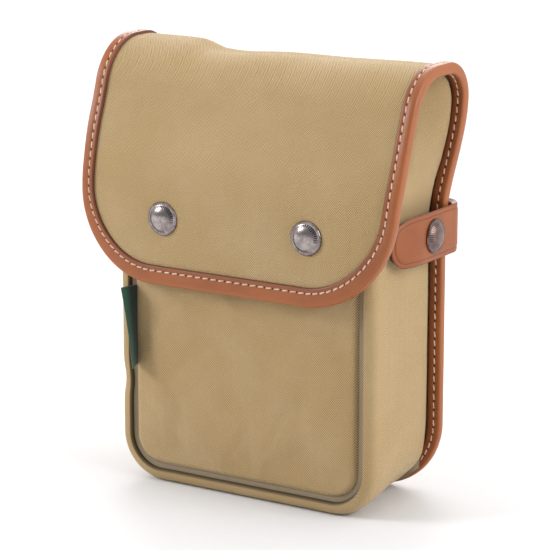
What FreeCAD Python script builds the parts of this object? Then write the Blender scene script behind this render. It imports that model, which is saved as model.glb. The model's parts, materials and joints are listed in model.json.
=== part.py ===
"""Padded canvas harness pouch with a leather-bound flap, press studs and two strap tabs.

Millimetres. +X is the right-hand side seen from the front, the front faces -Y and +Z is up.
The origin is on the underside of the base, midway between the sides.
"""

import FreeCAD, Part
import math
import os
import Sketcher
from FreeCAD import Placement, Rotation, Vector

# Driving dimensions: alias, value, meaning.
DIMENSIONS = [
    ("body_width", 130.0, "outer width of the gusset"),
    ("body_depth", 52.0, "front canvas face to back canvas face"),
    ("back_face", 30.0, "distance of the back canvas face behind the origin"),
    ("mouth_height", 142.0, "top edge of the front panel"),
    ("body_corner", 21.0, "bottom corner radius of the gusset"),
    ("seam_roll", 8.0, "radius of the gusset's rolled front edge"),
    ("canvas", 1.2, "canvas thickness"),
    ("foam", 3.0, "foam padding thickness"),
    ("lining", 0.8, "body lining thickness"),
    ("interlining", 0.6, "flap stiffener thickness"),
    ("flap_lining", 0.6, "flap lining thickness"),
    ("facing_height", 14.0, "height of the turned facing at the mouth"),
    ("facing", 0.8, "thickness of the turned facing"),
    ("board", 1.5, "base board thickness"),
    ("board_gap", 1.0, "space round the base board"),
    ("pocket_height", 82.0, "height of the inner slip pocket"),
    ("pocket_floor", 26.0, "lower edge of the inner slip pocket"),
    ("pocket_side", 8.0, "lining left showing beside the slip pocket"),
    ("binding_width", 7.5, "visible width of the leather binding"),
    ("leather", 1.3, "binding leather thickness"),
    ("back_flange", 5.0, "how far the back binding stands out beside the gusset"),
    ("back_corner", 22.0, "bottom corner radius of the back binding"),
    ("back_top_gap", 5.0, "space between the back padding and the flap's fold line"),
    ("back_lift", 0.5, "height of the back binding above the base"),
    ("taper_start", 133.0, "height where the back panel starts to widen"),
    ("taper_radius", 80.0, "easing radius where the back panel widens"),
    ("flap_overhang", 15.0, "how far the flap stands out beside the gusset"),
    ("flap_drop", 92.5, "height of the flap's lower edge"),
    ("flap_corner", 41.0, "radius of the flap's lower corners"),
    ("knee_height", 141.0, "height where the flap starts to lean back"),
    ("knee_radius", 60.0, "bend radius where the flap starts to lean back"),
    ("flap_lean", 18.7, "how far the flap leans back at the shoulder"),
    ("shoulder_radius", 24.0, "bend radius of the flap's front shoulder"),
    ("top_height", 192.5, "highest canvas surface of the flap"),
    ("arch_radius", 15.0, "bend radius where the flap meets the back"),
    ("back_hinge_height", 172.0, "height of the line where the flap folds back"),
    ("fold_run", 22.0, "distance from the shoulder corner to the front fold line"),
    ("fold_gap", 0.4, "gap between pieces on either side of a fold line"),
    ("ear_clearance", 2.6, "space between the gusset ears and the flap lining"),
    ("stud_spacing", 72.4, "distance between the two flap studs"),
    ("stud_height", 122.0, "height of the flap studs"),
    ("stud_gap", 4.1, "space between the two cloths that a stud joins"),
    ("cap_radius", 7.5, "radius of a stud cap"),
    ("cap_height", 3.1, "height of a stud cap"),
    ("cap_rim", 1.0, "height of a stud cap's rim"),
    ("post_radius", 2.0, "radius of a stud post or eyelet barrel"),
    ("rolled_radius", 2.8, "radius of the rolled end of a cap's post"),
    ("rolled_height", 0.4, "height of the rolled end of a cap's post"),
    ("socket_radius", 6.2, "outer radius of a socket cup"),
    ("socket_wall", 1.0, "wall of a socket cup"),
    ("socket_floor", 0.5, "floor of a socket cup"),
    ("socket_depth", 2.4, "height of a socket cup"),
    ("wire_radius", 0.4, "radius of a socket's spring wires"),
    ("wire_length", 7.2, "length of a socket's spring wires"),
    ("wire_depth", 1.5, "depth of the spring wires in the socket"),
    ("wire_clearance", 0.1, "space between the stud head and a spring wire"),
    ("head_radius", 3.0, "radius of a stud's head"),
    ("head_height", 1.3, "height of a stud's head"),
    ("neck_radius", 2.2, "radius of a stud's neck"),
    ("head_clearance", 0.3, "space between a stud's head and the rolled post"),
    ("flange_radius", 5.5, "radius of a stud's flange"),
    ("flange", 0.7, "thickness of a stud's flange"),
    ("eyelet_radius", 4.8, "radius of an eyelet's flange"),
    ("eyelet_flange", 0.6, "thickness of an eyelet's flange"),
    ("eyelet_bore", 1.4, "bore radius of an eyelet"),
    ("tab_leather", 2.2, "thickness of the tab leather"),
    ("tab_width", 21.5, "height of a tab strap"),
    ("tab_height", 119.2, "height of a tab's centre line"),
    ("tab_stud_back", 15.0, "distance of a tab stud ahead of the back face"),
    ("tab_reach", 44.0, "distance of a tab's tip ahead of the back face"),
    ("tab_tip", 9.5, "corner radius of a tab's tip"),
    ("tip_inset", 4.2, "how far a tab's tip leans in towards the gusset"),
    ("tip_bend_radius", 40.0, "bend radius where a tab starts to lean in"),
    ("tip_bend_ahead", 12.5, "distance of that bend ahead of the tab stud"),
    ("tab_clearance", 0.6, "space between a tab and the back binding"),
    ("patch_size", 15.0, "side of the leather patch under a tab stud"),
    ("slot_depth", 9.8, "space behind the back panel for harness webbing"),
    ("slot_width", 22.0, "width of harness webbing that a tab holds"),
    ("tab_fold_radius", 9.0, "outer bend radius where a tab folds"),
    ("anchor_bend_radius", 7.0, "bend radius where a tab leaves the back panel"),
    ("anchor_rise", 4.0, "sideways run of a tab as it leaves the back panel"),
    ("anchor_length", 20.0, "sewn length of a tab on the back panel"),
    ("label_height", 36.0, "height of the folded side label"),
    ("label_foot", 53.0, "height of the side label's lower edge"),
    ("label_reach", 9.5, "how far the side label stands out of the seam"),
    ("label_spread", 2.5, "how far the side label leans sideways"),
    ("ribbon", 0.9, "thickness of the folded side label"),
]

# Sizes worked out from the driving dimensions: alias, formula.
DERIVED = [
    ("back_width", "=body_width + 2 * back_flange"),
    ("flap_width", "=body_width + 2 * flap_overhang"),
    ("front_face", "=back_face - body_depth"),
    ("flap_stack", "=canvas + interlining + flap_lining"),
    ("flap_face", "=front_face - stud_gap - flap_stack"),
    ("panel_stack", "=canvas + foam + lining"),
    ("gusset_end", "=back_face - canvas - leather"),
    ("shoulder", "=flap_face + flap_lean"),
    ("neck_top", "=stud_gap - socket_floor - rolled_height - head_clearance - head_height"),
    ("tab_face", "=back_width / 2 + tab_clearance + tab_leather"),
    ("patch", "=back_flange + tab_clearance - stud_gap"),
    ("patch_face", "=body_width / 2 + patch"),
    ("tab_stud", "=back_face - tab_stud_back"),
    ("fold_face", "=back_face + slot_depth + tab_leather"),
]

doc = FreeCAD.newDocument("harness_pouch")
sheet = doc.addObject("Spreadsheet::Sheet", "dims")


def fill_sheet():
    """Writes every driving dimension and every derived size to the spreadsheet."""
    for row, (alias, value, meaning) in enumerate(DIMENSIONS, start=1):
        sheet.set(f"A{row}", meaning)
        sheet.set(f"B{row}", str(value))
        sheet.setAlias(f"B{row}", alias)
    doc.recompute()
    for row, (alias, formula) in enumerate(DERIVED, start=len(DIMENSIONS) + 1):
        sheet.set(f"A{row}", "worked out")
        sheet.set(f"B{row}", formula)
        sheet.setAlias(f"B{row}", alias)
        doc.recompute()


def size(alias):
    """The value of a cell in the spreadsheet."""
    return float(sheet.get(alias))


def bound(formula):
    """A formula of bare aliases with each alias pointing at the spreadsheet."""
    words = {alias for alias, *_ in DIMENSIONS} | {alias for alias, _ in DERIVED}
    out = ""
    word = ""
    for letter in str(formula) + " ":
        if letter.isalnum() or letter == "_":
            word += letter
            continue
        out += f"dims.{word}" if word in words else word
        out += letter
        word = ""
    return out.strip()


def value_of(formula):
    """The number that a formula of aliases gives now."""
    return float(sheet.evalExpression(bound(formula)))


# ---------------------------------------------------------------- sketches and solids


def new_body(label):
    """A PartDesign body with its own label."""
    body = doc.addObject("PartDesign::Body", label)
    body.Label = label
    return body


def origin_plane(body, role):
    """One of a body's own origin planes."""
    return [feature for feature in body.Origin.OriginFeatures if feature.Role == role][0]


def new_sketch(body, role, offset=("0", "0", "0")):
    """A sketch on an origin plane, moved by formulas along the sketch's own X, Y and normal."""
    sketch = body.newObject("Sketcher::SketchObject", f"{body.Label}_sketch")
    sketch.AttachmentSupport = (origin_plane(body, role), [""])
    sketch.MapMode = "FlatFace"
    for letter, formula in zip("xyz", offset):
        if formula != "0":
            sketch.setExpression(f"AttachmentOffset.Base.{letter}", bound(formula))
    return sketch


def round_corner(before, corner, after, radius):
    """The two tangent points and the middle of the arc that rounds a corner."""
    back = (before - corner).normalize()
    ahead = (after - corner).normalize()
    half = back.getAngle(ahead) / 2
    reach = radius / math.tan(half)
    bisector = (back + ahead).normalize()
    middle = corner + bisector * (radius / math.sin(half) - radius)
    return corner + back * reach, middle, corner + ahead * reach


def constrain_point(sketch, geometry, end, formulas):
    """Ties a point of a sketch to two formulas."""
    for kind, formula in zip(("DistanceX", "DistanceY"), formulas):
        datum = Sketcher.Constraint(kind, -1, 1, geometry, end, value_of(formula))
        index = sketch.addConstraint(datum)
        sketch.setExpression(f"Constraints[{index}]", bound(formula))


def outline(sketch, corners):
    """Draws a closed outline whose corners are (x formula, y formula, radius formula or None)."""
    points = [Vector(value_of(x), value_of(y), 0) for x, y, _ in corners]
    count = len(points)
    arrive, leave, middles = {}, {}, {}
    for i, (_, _, radius) in enumerate(corners):
        arrive[i] = leave[i] = points[i]
        if radius is not None:
            around = (points[i - 1], points[i], points[(i + 1) % count])
            arrive[i], middles[i], leave[i] = round_corner(*around, value_of(radius))
    sides = []
    for i in range(count):
        line = Part.LineSegment(leave[i], arrive[(i + 1) % count])
        sides.append(sketch.addGeometry(line))
    for i, (x, y, radius) in enumerate(corners):
        before, after = sides[i - 1], sides[i]
        if radius is None:
            sketch.addConstraint(Sketcher.Constraint("Coincident", before, 2, after, 1))
            constrain_point(sketch, after, 1, (x, y))
            continue
        arc = sketch.addGeometry(Part.Arc(arrive[i], middles[i], leave[i]))
        starts_here = sketch.getPoint(arc, 1).distanceToPoint(arrive[i]) < 1e-6
        first, last = (1, 2) if starts_here else (2, 1)
        sketch.addConstraint(Sketcher.Constraint("Tangent", before, 2, arc, first))
        sketch.addConstraint(Sketcher.Constraint("Tangent", arc, last, after, 1))
        index = sketch.addConstraint(Sketcher.Constraint("Radius", arc, value_of(radius)))
        sketch.setExpression(f"Constraints[{index}]", bound(radius))
        mark = sketch.addGeometry(Part.Point(points[i]), True)
        constrain_point(sketch, mark, 1, (x, y))
        sketch.addConstraint(Sketcher.Constraint("PointOnObject", mark, 1, before))
        sketch.addConstraint(Sketcher.Constraint("PointOnObject", mark, 1, after))


def mirrored(corners):
    """A half outline at +X, given from the bottom up, closed by its mirror image."""
    left = [(f"-({x})", y, radius) for x, y, radius in corners]
    return corners + left[::-1]


def pad(body, sketch, length, reverse=False):
    """Pads a sketch by a formula."""
    feature = body.newObject("PartDesign::Pad", f"{body.Label}_pad")
    feature.Profile = sketch
    feature.setExpression("Length", bound(length))
    feature.Reversed = reverse
    body.Tip = feature
    return feature


def front_pad(label, corners, near, far):
    """A body padded from a front outline in X and Z, from y = near to y = far."""
    body = new_body(label)
    sketch = new_sketch(body, "XZ_Plane", ("0", "0", f"-({near})"))
    outline(sketch, corners)
    pad(body, sketch, f"({far}) - ({near})", reverse=True)
    return body


def front_pocket(body, corners, near, far):
    """Cuts a front outline out of a body from y = near to y = far."""
    doc.recompute()
    before = body.Shape.Volume
    sketch = new_sketch(body, "XZ_Plane", ("0", "0", f"-({near})"))
    outline(sketch, corners)
    feature = body.newObject("PartDesign::Pocket", f"{body.Label}_pocket")
    feature.Profile = sketch
    feature.setExpression("Length", bound(f"({far}) - ({near})"))
    feature.Reversed = False
    body.Tip = feature
    doc.recompute()
    if body.Shape.Volume > before - 1.0:
        raise RuntimeError(f"the pocket in {body.Label} cut nothing")


def top_pad(label, corners, low, high):
    """A body padded from a plan outline in X and Y, from z = low to z = high."""
    body = new_body(label)
    sketch = new_sketch(body, "XY_Plane", ("0", "0", low))
    outline(sketch, corners)
    pad(body, sketch, f"({high}) - ({low})")
    return body


def turned(label, profile, place, outward):
    """A turned piece: a (radius, outward distance) profile revolved about an axis through place.

    The axis lies along the letter in outward, "-Y" for the flap's studs or "+X" for a tab's.
    """
    body = new_body(label)
    sketch = new_sketch(body, "XY_Plane", place)
    if outward == "-Y":
        outline(sketch, [(radius, f"-({run})", fillet) for radius, run, fillet in profile])
        axis = "V_Axis"
    else:
        outline(sketch, [(run, radius, fillet) for radius, run, fillet in profile])
        axis = "H_Axis"
    feature = body.newObject("PartDesign::Revolution", f"{label}_turn")
    feature.Profile = sketch
    feature.ReferenceAxis = (sketch, [axis])
    feature.Angle = 360
    body.Tip = feature
    return body


def cut(label, base, tools):
    """A Part cut of one object by several."""
    tool = tools[0]
    if len(tools) > 1:
        tool = doc.addObject("Part::MultiFuse", f"{label}_tools")
        tool.Shapes = tools
    result = doc.addObject("Part::Cut", label)
    result.Label = label
    result.Base = base
    result.Tool = tool
    return result


def common(label, first, second):
    """A Part common of two objects."""
    result = doc.addObject("Part::Common", label)
    result.Label = label
    result.Base = first
    result.Tool = second
    return result


def mirror(label, source):
    """The same piece on the other side of the pouch."""
    result = doc.addObject("Part::Mirroring", label)
    result.Label = label
    result.Source = source
    result.Normal = Vector(1, 0, 0)
    return result


def pair(label, source):
    """A piece and its mirror image, kept as two separate solids in one node."""
    group = doc.addObject("Part::Compound", label)
    source.Label = f"{label}_right"
    group.Links = [source, mirror(f"{label}_left", source)]
    group.Label = label
    return group


def bar(name, radius, length, place, direction):
    """A cylinder of formula sizes centred on a place, along X, Y or Z."""
    rod = doc.addObject("Part::Cylinder", name)
    rod.setExpression("Radius", bound(radius))
    rod.setExpression("Height", bound(length))
    axis = Vector(*[float(letter == direction) for letter in "XYZ"])
    rod.Placement = Placement(Vector(), Rotation(Vector(0, 0, 1), axis))
    start = dict(zip("xyz", place))
    start[direction.lower()] = f"{start[direction.lower()]} - ({length}) / 2"
    for letter, formula in start.items():
        rod.setExpression(f"Placement.Base.{letter}", bound(formula))
    return rod


# ------------------------------------------------------------------- the padded body


def tub_corners(inset, top):
    """Front outline of the gusset, moved inwards by a formula."""
    half = f"body_width / 2 - ({inset})"
    return mirrored([(half, inset, f"body_corner - ({inset})"), (half, top, None)])


def panel_corners(top):
    """Front outline of the front panel, inside the rolled seam."""
    half = "body_width / 2 - seam_roll"
    return mirrored([(half, "seam_roll", "body_corner - seam_roll"), (half, top, None)])


def tub(name, inset, top):
    """A solid with the gusset's outside moved inwards, its front edge rolled."""
    near = f"front_face + {inset}"
    body = front_pad(name, tub_corners(inset, top), near, "gusset_end")
    doc.recompute()
    front = value_of(near)
    roof = value_of(top)
    edges = []
    for number, edge in enumerate(body.Shape.Edges, start=1):
        on_front = all(abs(vertex.Y - front) < 1e-4 for vertex in edge.Vertexes)
        below_roof = min(vertex.Z for vertex in edge.Vertexes) < roof - 1e-4
        if on_front and below_roof:
            edges.append(f"Edge{number}")
    base = body.Tip
    roll = body.newObject("PartDesign::Fillet", f"{name}_roll")
    roll.Base = (base, edges)
    roll.setExpression("Radius", bound(f"seam_roll - ({inset})"))
    body.Tip = roll
    return body


def gusset_shells():
    """The gusset's canvas, foam and lining, one strip round the sides and the base."""
    opening = front_pad("front_opening", panel_corners("top_height"), "front_face - 1",
                        "front_face + body_corner - 1")
    place = ("0", "tab_stud", "tab_height")
    bore = bar("tab_stud_bore", "post_radius", "body_width + 4", place, "X")
    canvas = tub("gusset_outside", "0", "top_height")
    inside = tub("gusset_inside", "canvas", "top_height")
    shell = cut("gusset_shell", canvas, [inside, opening, bore])
    common("gusset", shell, ear_limit())
    foam = tub("gusset_foam_outside", "canvas", "mouth_height")
    foam_inside = tub("gusset_foam_inside", "canvas + foam", "mouth_height")
    cut("gusset_foam", foam, [foam_inside, opening, bore])
    lining = tub("gusset_lining_outside", "canvas + foam", "mouth_height")
    lining_inside = tub("gusset_lining_inside", "panel_stack", "mouth_height")
    cut("gusset_lining", lining, [lining_inside, opening, bore])


def front_layers():
    """Front canvas, foam, lining and the turned facing at the mouth, with stud holes."""
    place = ("stud_spacing / 2", "front_face", "stud_height")
    rod = bar("front_stud_bore", "post_radius", "body_depth", place, "Y")
    holes = pair("front_stud_bores", rod)
    layers = [
        ("front_panel", "0", "canvas"),
        ("front_foam", "canvas", "canvas + foam"),
        ("front_lining", "canvas + foam", "panel_stack"),
    ]
    for label, near, far in layers:
        corners = panel_corners("mouth_height")
        solid = front_pad(f"{label}_sheet", corners, f"front_face + {near}", f"front_face + {far}")
        cut(label, solid, [holes])
    half = "body_width / 2 - seam_roll"
    low = "mouth_height - facing_height"
    corners = [(half, low, None), (half, "mouth_height", None)]
    near = "front_face + panel_stack"
    front_pad("mouth_facing", mirrored(corners), near, f"{near} + facing")


def back_corners(inset, top="back_hinge_height - fold_gap / 2"):
    """Half outline of the back panel, moved inwards by a formula, from the bottom up."""
    return [
        (f"back_width / 2 - ({inset})", f"back_lift + {inset}", f"back_corner - ({inset})"),
        (f"back_width / 2 - ({inset})", "taper_start", "taper_radius"),
        (f"flap_width / 2 - ({inset})", top, None),
    ]


def back_layers():
    """Back canvas, foam, lining and the slip pocket sewn on the lining."""
    front_pad("back_panel", mirrored(back_corners("leather")), "back_face - canvas", "back_face")
    half = "body_width / 2 - panel_stack"
    roof = "back_hinge_height - back_top_gap"
    padded = [
        (half, "back_lift + binding_width + lining", "body_corner - panel_stack"),
        (half, roof, None),
    ]
    front_pad("back_foam", mirrored(padded), "back_face - canvas - foam", "back_face - canvas")
    inside = [(half, "panel_stack", "body_corner - panel_stack"), (half, roof, None)]
    front_pad("back_lining", mirrored(inside), "back_face - panel_stack",
              "back_face - canvas - foam")
    side = f"{half} - pocket_side"
    pocket = [(side, "pocket_floor", "4"), (side, "pocket_floor + pocket_height", None)]
    front_pad("inner_pocket", mirrored(pocket), "back_face - panel_stack - lining",
              "back_face - panel_stack")


def back_binding():
    """The leather channel sewn round the sides and the bottom of the back panel."""
    outer = back_corners("0")
    inner = back_corners("binding_width")
    left = [(f"-({x})", y, radius) for x, y, radius in outer]
    left_inner = [(f"-({x})", y, radius) for x, y, radius in inner]
    loop = outer[::-1] + left + left_inner[::-1] + inner
    body = front_pad("back_binding", loop, "gusset_end", "back_face + leather")
    slot = mirrored(back_corners("leather", "back_hinge_height"))
    front_pocket(body, slot, "back_face - canvas", "back_face")


def base_board():
    """The loose stiff board on the base lining."""
    half = "body_width / 2 - body_corner"
    near = "front_face + seam_roll"
    far = "back_face - panel_stack - lining - board_gap"
    corners = [(half, near, "4"), (half, far, "4")]
    top_pad("base_board", mirrored(corners), "panel_stack", "panel_stack + board")


def side_label():
    """The folded ribbon label caught in the left front seam."""
    seam = "-(body_width / 2 - seam_roll)"
    corners = [
        (seam, "front_face", None),
        (f"{seam} - ribbon", "front_face", None),
        (f"{seam} - ribbon - label_spread", "front_face - label_reach", None),
        (f"{seam} - label_spread", "front_face - label_reach", None),
    ]
    top_pad("side_label", corners, "label_foot", "label_foot + label_height")


# --------------------------------------------------------------------------- the flap


def flap_corners():
    """Side profile of the flap's canvas face in Y and Z, from the back fold to the lower edge."""
    return [
        (Vector(0, size("back_face"), size("back_hinge_height")), 0.0),
        (Vector(0, size("back_face"), size("top_height")), size("arch_radius")),
        (Vector(0, size("shoulder"), size("top_height")), size("shoulder_radius")),
        (Vector(0, size("flap_face"), size("knee_height")), size("knee_radius")),
        (Vector(0, size("flap_face"), size("flap_drop")), 0.0),
    ]


def moved_corners(corners, depth):
    """The same profile moved towards the body by depth."""
    normals = []
    for (start, _), (end, _) in zip(corners, corners[1:]):
        run = (end - start).normalize()
        normals.append(Vector(0, -run.z, run.y))
    result = []
    for i, (point, radius) in enumerate(corners):
        if i == 0:
            shifted = point + normals[0] * depth
        elif i == len(corners) - 1:
            shifted = point + normals[-1] * depth
        else:
            sum_of_normals = normals[i - 1] + normals[i]
            shifted = point + sum_of_normals * (2 * depth / sum_of_normals.Length ** 2)
        result.append((shifted, max(radius - depth, 0.0)))
    return result


def profile_edges(corners):
    """Lines and arcs through a profile's corners."""
    edges = []
    here = corners[0][0]
    for i in range(1, len(corners) - 1):
        point, radius = corners[i]
        ends = round_corner(corners[i - 1][0], point, corners[i + 1][0], radius)
        edges.append(Part.LineSegment(here, ends[0]).toShape())
        edges.append(Part.Arc(*ends).toShape())
        here = ends[2]
    edges.append(Part.LineSegment(here, corners[-1][0]).toShape())
    return edges


def flap_band(near, far):
    """A full-width slab that follows the flap's profile, between two depths under its face."""
    outer = moved_corners(flap_corners(), near)
    inner = moved_corners(flap_corners(), far)
    closing = [
        Part.LineSegment(outer[-1][0], inner[-1][0]).toShape(),
        Part.LineSegment(outer[0][0], inner[0][0]).toShape(),
    ]
    edges = profile_edges(outer) + profile_edges(inner) + closing
    face = Part.Face(Part.Wire(Part.__sortEdges__(edges)))
    half = size("flap_width") / 2
    face.translate(Vector(-half, 0, 0))
    return face.extrude(Vector(2 * half, 0, 0))


def fold_line():
    """A point on the flap's face at the front fold, and the profile's upward direction there."""
    shoulder = Vector(0, size("shoulder"), size("top_height"))
    knee = Vector(0, size("flap_face"), size("knee_height"))
    upward = (shoulder - knee).normalize()
    return shoulder - upward * size("fold_run"), upward


def beyond(point, direction):
    """A solid large enough to stand for everything beyond a plane."""
    reach = 4 * size("top_height")
    return Part.makeCylinder(reach, reach, point, direction)


def flap_plan(inset):
    """A prism with the flap's front outline, moved inwards by inset."""
    half = size("flap_width") / 2 - inset
    low = size("flap_drop") + inset
    high = 2 * size("top_height")
    radius = size("flap_corner") - inset
    corners = [Vector(half, 0, high), Vector(half, 0, low), Vector(-half, 0, low),
               Vector(-half, 0, high)]
    right = round_corner(corners[0], corners[1], corners[2], radius)
    left = round_corner(corners[1], corners[2], corners[3], radius)
    edges = [
        Part.LineSegment(corners[0], right[0]).toShape(),
        Part.Arc(*right).toShape(),
        Part.LineSegment(right[2], left[0]).toShape(),
        Part.Arc(*left).toShape(),
        Part.LineSegment(left[2], corners[3]).toShape(),
        Part.LineSegment(corners[3], corners[0]).toShape(),
    ]
    depth = 4 * size("body_depth")
    prism = Part.Face(Part.Wire(edges)).extrude(Vector(0, depth, 0))
    prism.translate(Vector(0, -depth / 2, 0))
    return prism


def flap_stud_holes():
    """The two round holes for the posts of the flap's studs."""
    start = Vector(size("stud_spacing") / 2, size("flap_face") - 2, size("stud_height"))
    hole = Part.makeCylinder(size("post_radius"), size("flap_stack") + 4, start, Vector(0, 1, 0))
    return hole.fuse(hole.mirror(Vector(), Vector(1, 0, 0)))


def set_shape(label, shape):
    """Adds a node whose shape is made by code."""
    node = doc.addObject("Part::Feature", label)
    node.Label = label
    node.Shape = shape.Solids[0] if len(shape.Solids) == 1 else shape
    node.Placement = Placement()
    return node


def ear_limit():
    """Everything below the flap's lining, less a clearance: it shapes the gusset's ears."""
    depth = size("flap_stack") + size("ear_clearance")
    corners = moved_corners(flap_corners(), depth)
    first, last = corners[0][0], corners[-1][0]
    floor = -size("back_face")
    ends = [Vector(0, last.y, floor), Vector(0, 2 * size("back_face"), floor),
            Vector(0, 2 * size("back_face"), first.z)]
    edges = profile_edges(corners)
    for start, end in zip([last] + ends, ends + [first]):
        edges.append(Part.LineSegment(start, end).toShape())
    half = size("body_width")
    face = Part.Face(Part.Wire(Part.__sortEdges__(edges)))
    face.translate(Vector(-half, 0, 0))
    return set_shape("ear_limit", face.extrude(Vector(2 * half, 0, 0)))


def flap_leaves():
    """The flap's canvas, stiffener, lining and binding, split at the front fold."""
    point, upward = fold_line()
    half_gap = upward * (size("fold_gap") / 2)
    upper = beyond(point + half_gap, upward)
    lower = beyond(point - half_gap, upward * -1)
    leather = size("leather")
    cloth_plan = flap_plan(leather)
    holes = flap_stud_holes()
    depth = 0.0
    for layer, thickness in (("canvas", "canvas"), ("stiffener", "interlining"),
                             ("lining", "flap_lining")):
        band = flap_band(depth, depth + size(thickness)).common(cloth_plan)
        set_shape(f"flap_top_{layer}", band.common(upper))
        set_shape(f"flap_front_{layer}", band.common(lower).cut(holes))
        depth += size(thickness)
    thick = flap_band(-leather, depth + leather).common(flap_plan(0.0))
    inside = flap_plan(size("binding_width"))
    channel = thick.cut(inside).cut(flap_band(0.0, depth).common(cloth_plan))
    set_shape("flap_front_binding", channel.common(lower))
    sides = channel.common(upper)
    for side, solid in zip(("left", "right"), sorted(sides.Solids, key=lambda s: s.CenterOfMass.x)):
        set_shape(f"flap_top_binding_{side}", solid)


# ---------------------------------------------------------------------- press studs


def cap_profile(stack):
    """A domed cap whose post runs through a stack of layers and is rolled over."""
    end = f"-({stack} + socket_floor)"
    return [
        ("0", f"{end} - rolled_height", None),
        ("rolled_radius", f"{end} - rolled_height", None),
        ("rolled_radius", end, None),
        ("post_radius", end, None),
        ("post_radius", "0", None),
        ("cap_radius", "0", None),
        ("cap_radius", "cap_rim", "0.4"),
        ("cap_radius * 0.78", "cap_height", "cap_radius * 0.6"),
        ("0", "cap_height", None),
    ]


def socket_profile(stack):
    """A shallow cup on the far side of the stack."""
    return [
        ("post_radius", f"-({stack})", None),
        ("socket_radius", f"-({stack})", None),
        ("socket_radius", f"-({stack} + socket_depth)", None),
        ("socket_radius - socket_wall", f"-({stack} + socket_depth)", None),
        ("socket_radius - socket_wall", f"-({stack} + socket_floor)", None),
        ("post_radius", f"-({stack} + socket_floor)", None),
    ]


def stud_profile():
    """A stud with a flange on the cloth, a neck and a round head."""
    return [
        ("0", "0", None),
        ("flange_radius", "0", None),
        ("flange_radius", "flange", None),
        ("neck_radius", "flange", None),
        ("neck_radius", "neck_top", None),
        ("head_radius", "neck_top", None),
        ("head_radius", "neck_top + head_height", "head_height * 0.6"),
        ("0", "neck_top + head_height", None),
    ]


def eyelet_profile(stack):
    """A flanged barrel that runs from inside the body to the stud's flange."""
    return [
        ("eyelet_bore", "0", None),
        ("post_radius", "0", None),
        ("post_radius", f"-({stack})", None),
        ("eyelet_radius", f"-({stack})", None),
        ("eyelet_radius", f"-({stack} + eyelet_flange)", None),
        ("eyelet_bore", f"-({stack} + eyelet_flange)", None),
    ]


def flap_studs():
    """The two press studs that close the flap."""
    on_flap = ("stud_spacing / 2", "flap_face", "stud_height")
    on_body = ("stud_spacing / 2", "front_face", "stud_height")
    pair("flap_caps", turned("flap_cap", cap_profile("flap_stack"), on_flap, "-Y"))
    pair("flap_sockets", turned("flap_socket", socket_profile("flap_stack"), on_flap, "-Y"))
    pair("flap_studs", turned("flap_stud", stud_profile(), on_body, "-Y"))
    pair("flap_eyelets", turned("flap_eyelet", eyelet_profile("panel_stack"), on_body, "-Y"))
    depth = "flap_face + flap_stack + wire_depth"
    reach = "head_radius + wire_clearance + wire_radius"
    wires = []
    for side, sign in (("outer", "+"), ("inner", "-")):
        place = (f"stud_spacing / 2 {sign} ({reach})", depth, "stud_height")
        wires.append(bar(f"flap_wire_{side}", "wire_radius", "wire_length", place, "Z"))
    springs = doc.addObject("Part::Compound", "flap_wire_pair")
    springs.Links = wires
    pair("flap_socket_springs", springs)


# -------------------------------------------------------------------------- the tabs


def tab_path():
    """Plan of the right tab's outer face, from its tip round the fold to the sewn end."""
    face = size("tab_face")
    back = size("back_face")
    stud = size("tab_stud")
    fold = size("fold_face")
    seat = back + size("tab_leather")
    rise_end = size("back_width") / 2 - size("slot_width") - size("tab_leather")
    rise_start = rise_end - size("anchor_rise")
    bend = size("anchor_bend_radius")
    return [
        (Vector(face - size("tip_inset"), back - size("tab_reach"), 0), 0.0),
        (Vector(face, stud - size("tip_bend_ahead"), 0), size("tip_bend_radius")),
        (Vector(face, fold, 0), size("tab_fold_radius")),
        (Vector(rise_end, fold, 0), bend),
        (Vector(rise_start, seat, 0), bend),
        (Vector(rise_start - size("anchor_length"), seat, 0), 0.0),
    ]


def tab_strap():
    """The whole right tab strap, tip and all, before it is split at its fold."""
    thickness = size("tab_leather")
    outer = tab_path()
    wire = Part.Wire(profile_edges(outer))
    inner = wire.makeOffset2D(-thickness, fill=True, openResult=True)
    if inner.BoundBox.XMax > wire.BoundBox.XMax + thickness / 2:
        inner = wire.makeOffset2D(thickness, fill=True, openResult=True)
    width = size("tab_width")
    low = size("tab_height") - width / 2
    inner.translate(Vector(0, 0, low))
    strap = inner.extrude(Vector(0, 0, width))
    return strap.common(tab_tip_prism())


def tab_tip_prism():
    """A prism along X that rounds the corners of the tab's tip."""
    middle = size("tab_height")
    half = size("tab_width") / 2
    tip = size("back_face") - size("tab_reach")
    far = 2 * size("fold_face")
    corners = [Vector(0, far, middle - half), Vector(0, tip, middle - half),
               Vector(0, tip, middle + half), Vector(0, far, middle + half)]
    low = round_corner(corners[0], corners[1], corners[2], size("tab_tip"))
    high = round_corner(corners[1], corners[2], corners[3], size("tab_tip"))
    edges = [
        Part.LineSegment(corners[0], low[0]).toShape(),
        Part.Arc(*low).toShape(),
        Part.LineSegment(low[2], high[0]).toShape(),
        Part.Arc(*high).toShape(),
        Part.LineSegment(high[2], corners[3]).toShape(),
        Part.LineSegment(corners[3], corners[0]).toShape(),
    ]
    return Part.Face(Part.Wire(edges)).extrude(Vector(2 * size("tab_face"), 0, 0))


def tab_fold_axis():
    """Where the right tab's fold meets its outer face, and the direction out of the arm."""
    radius = size("tab_fold_radius")
    centre = Vector(size("tab_face") - radius, size("fold_face") - radius, 0)
    diagonal = Vector(1, 1, 0).normalize()
    return centre + diagonal * radius, Vector(-1, 1, 0).normalize()


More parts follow.
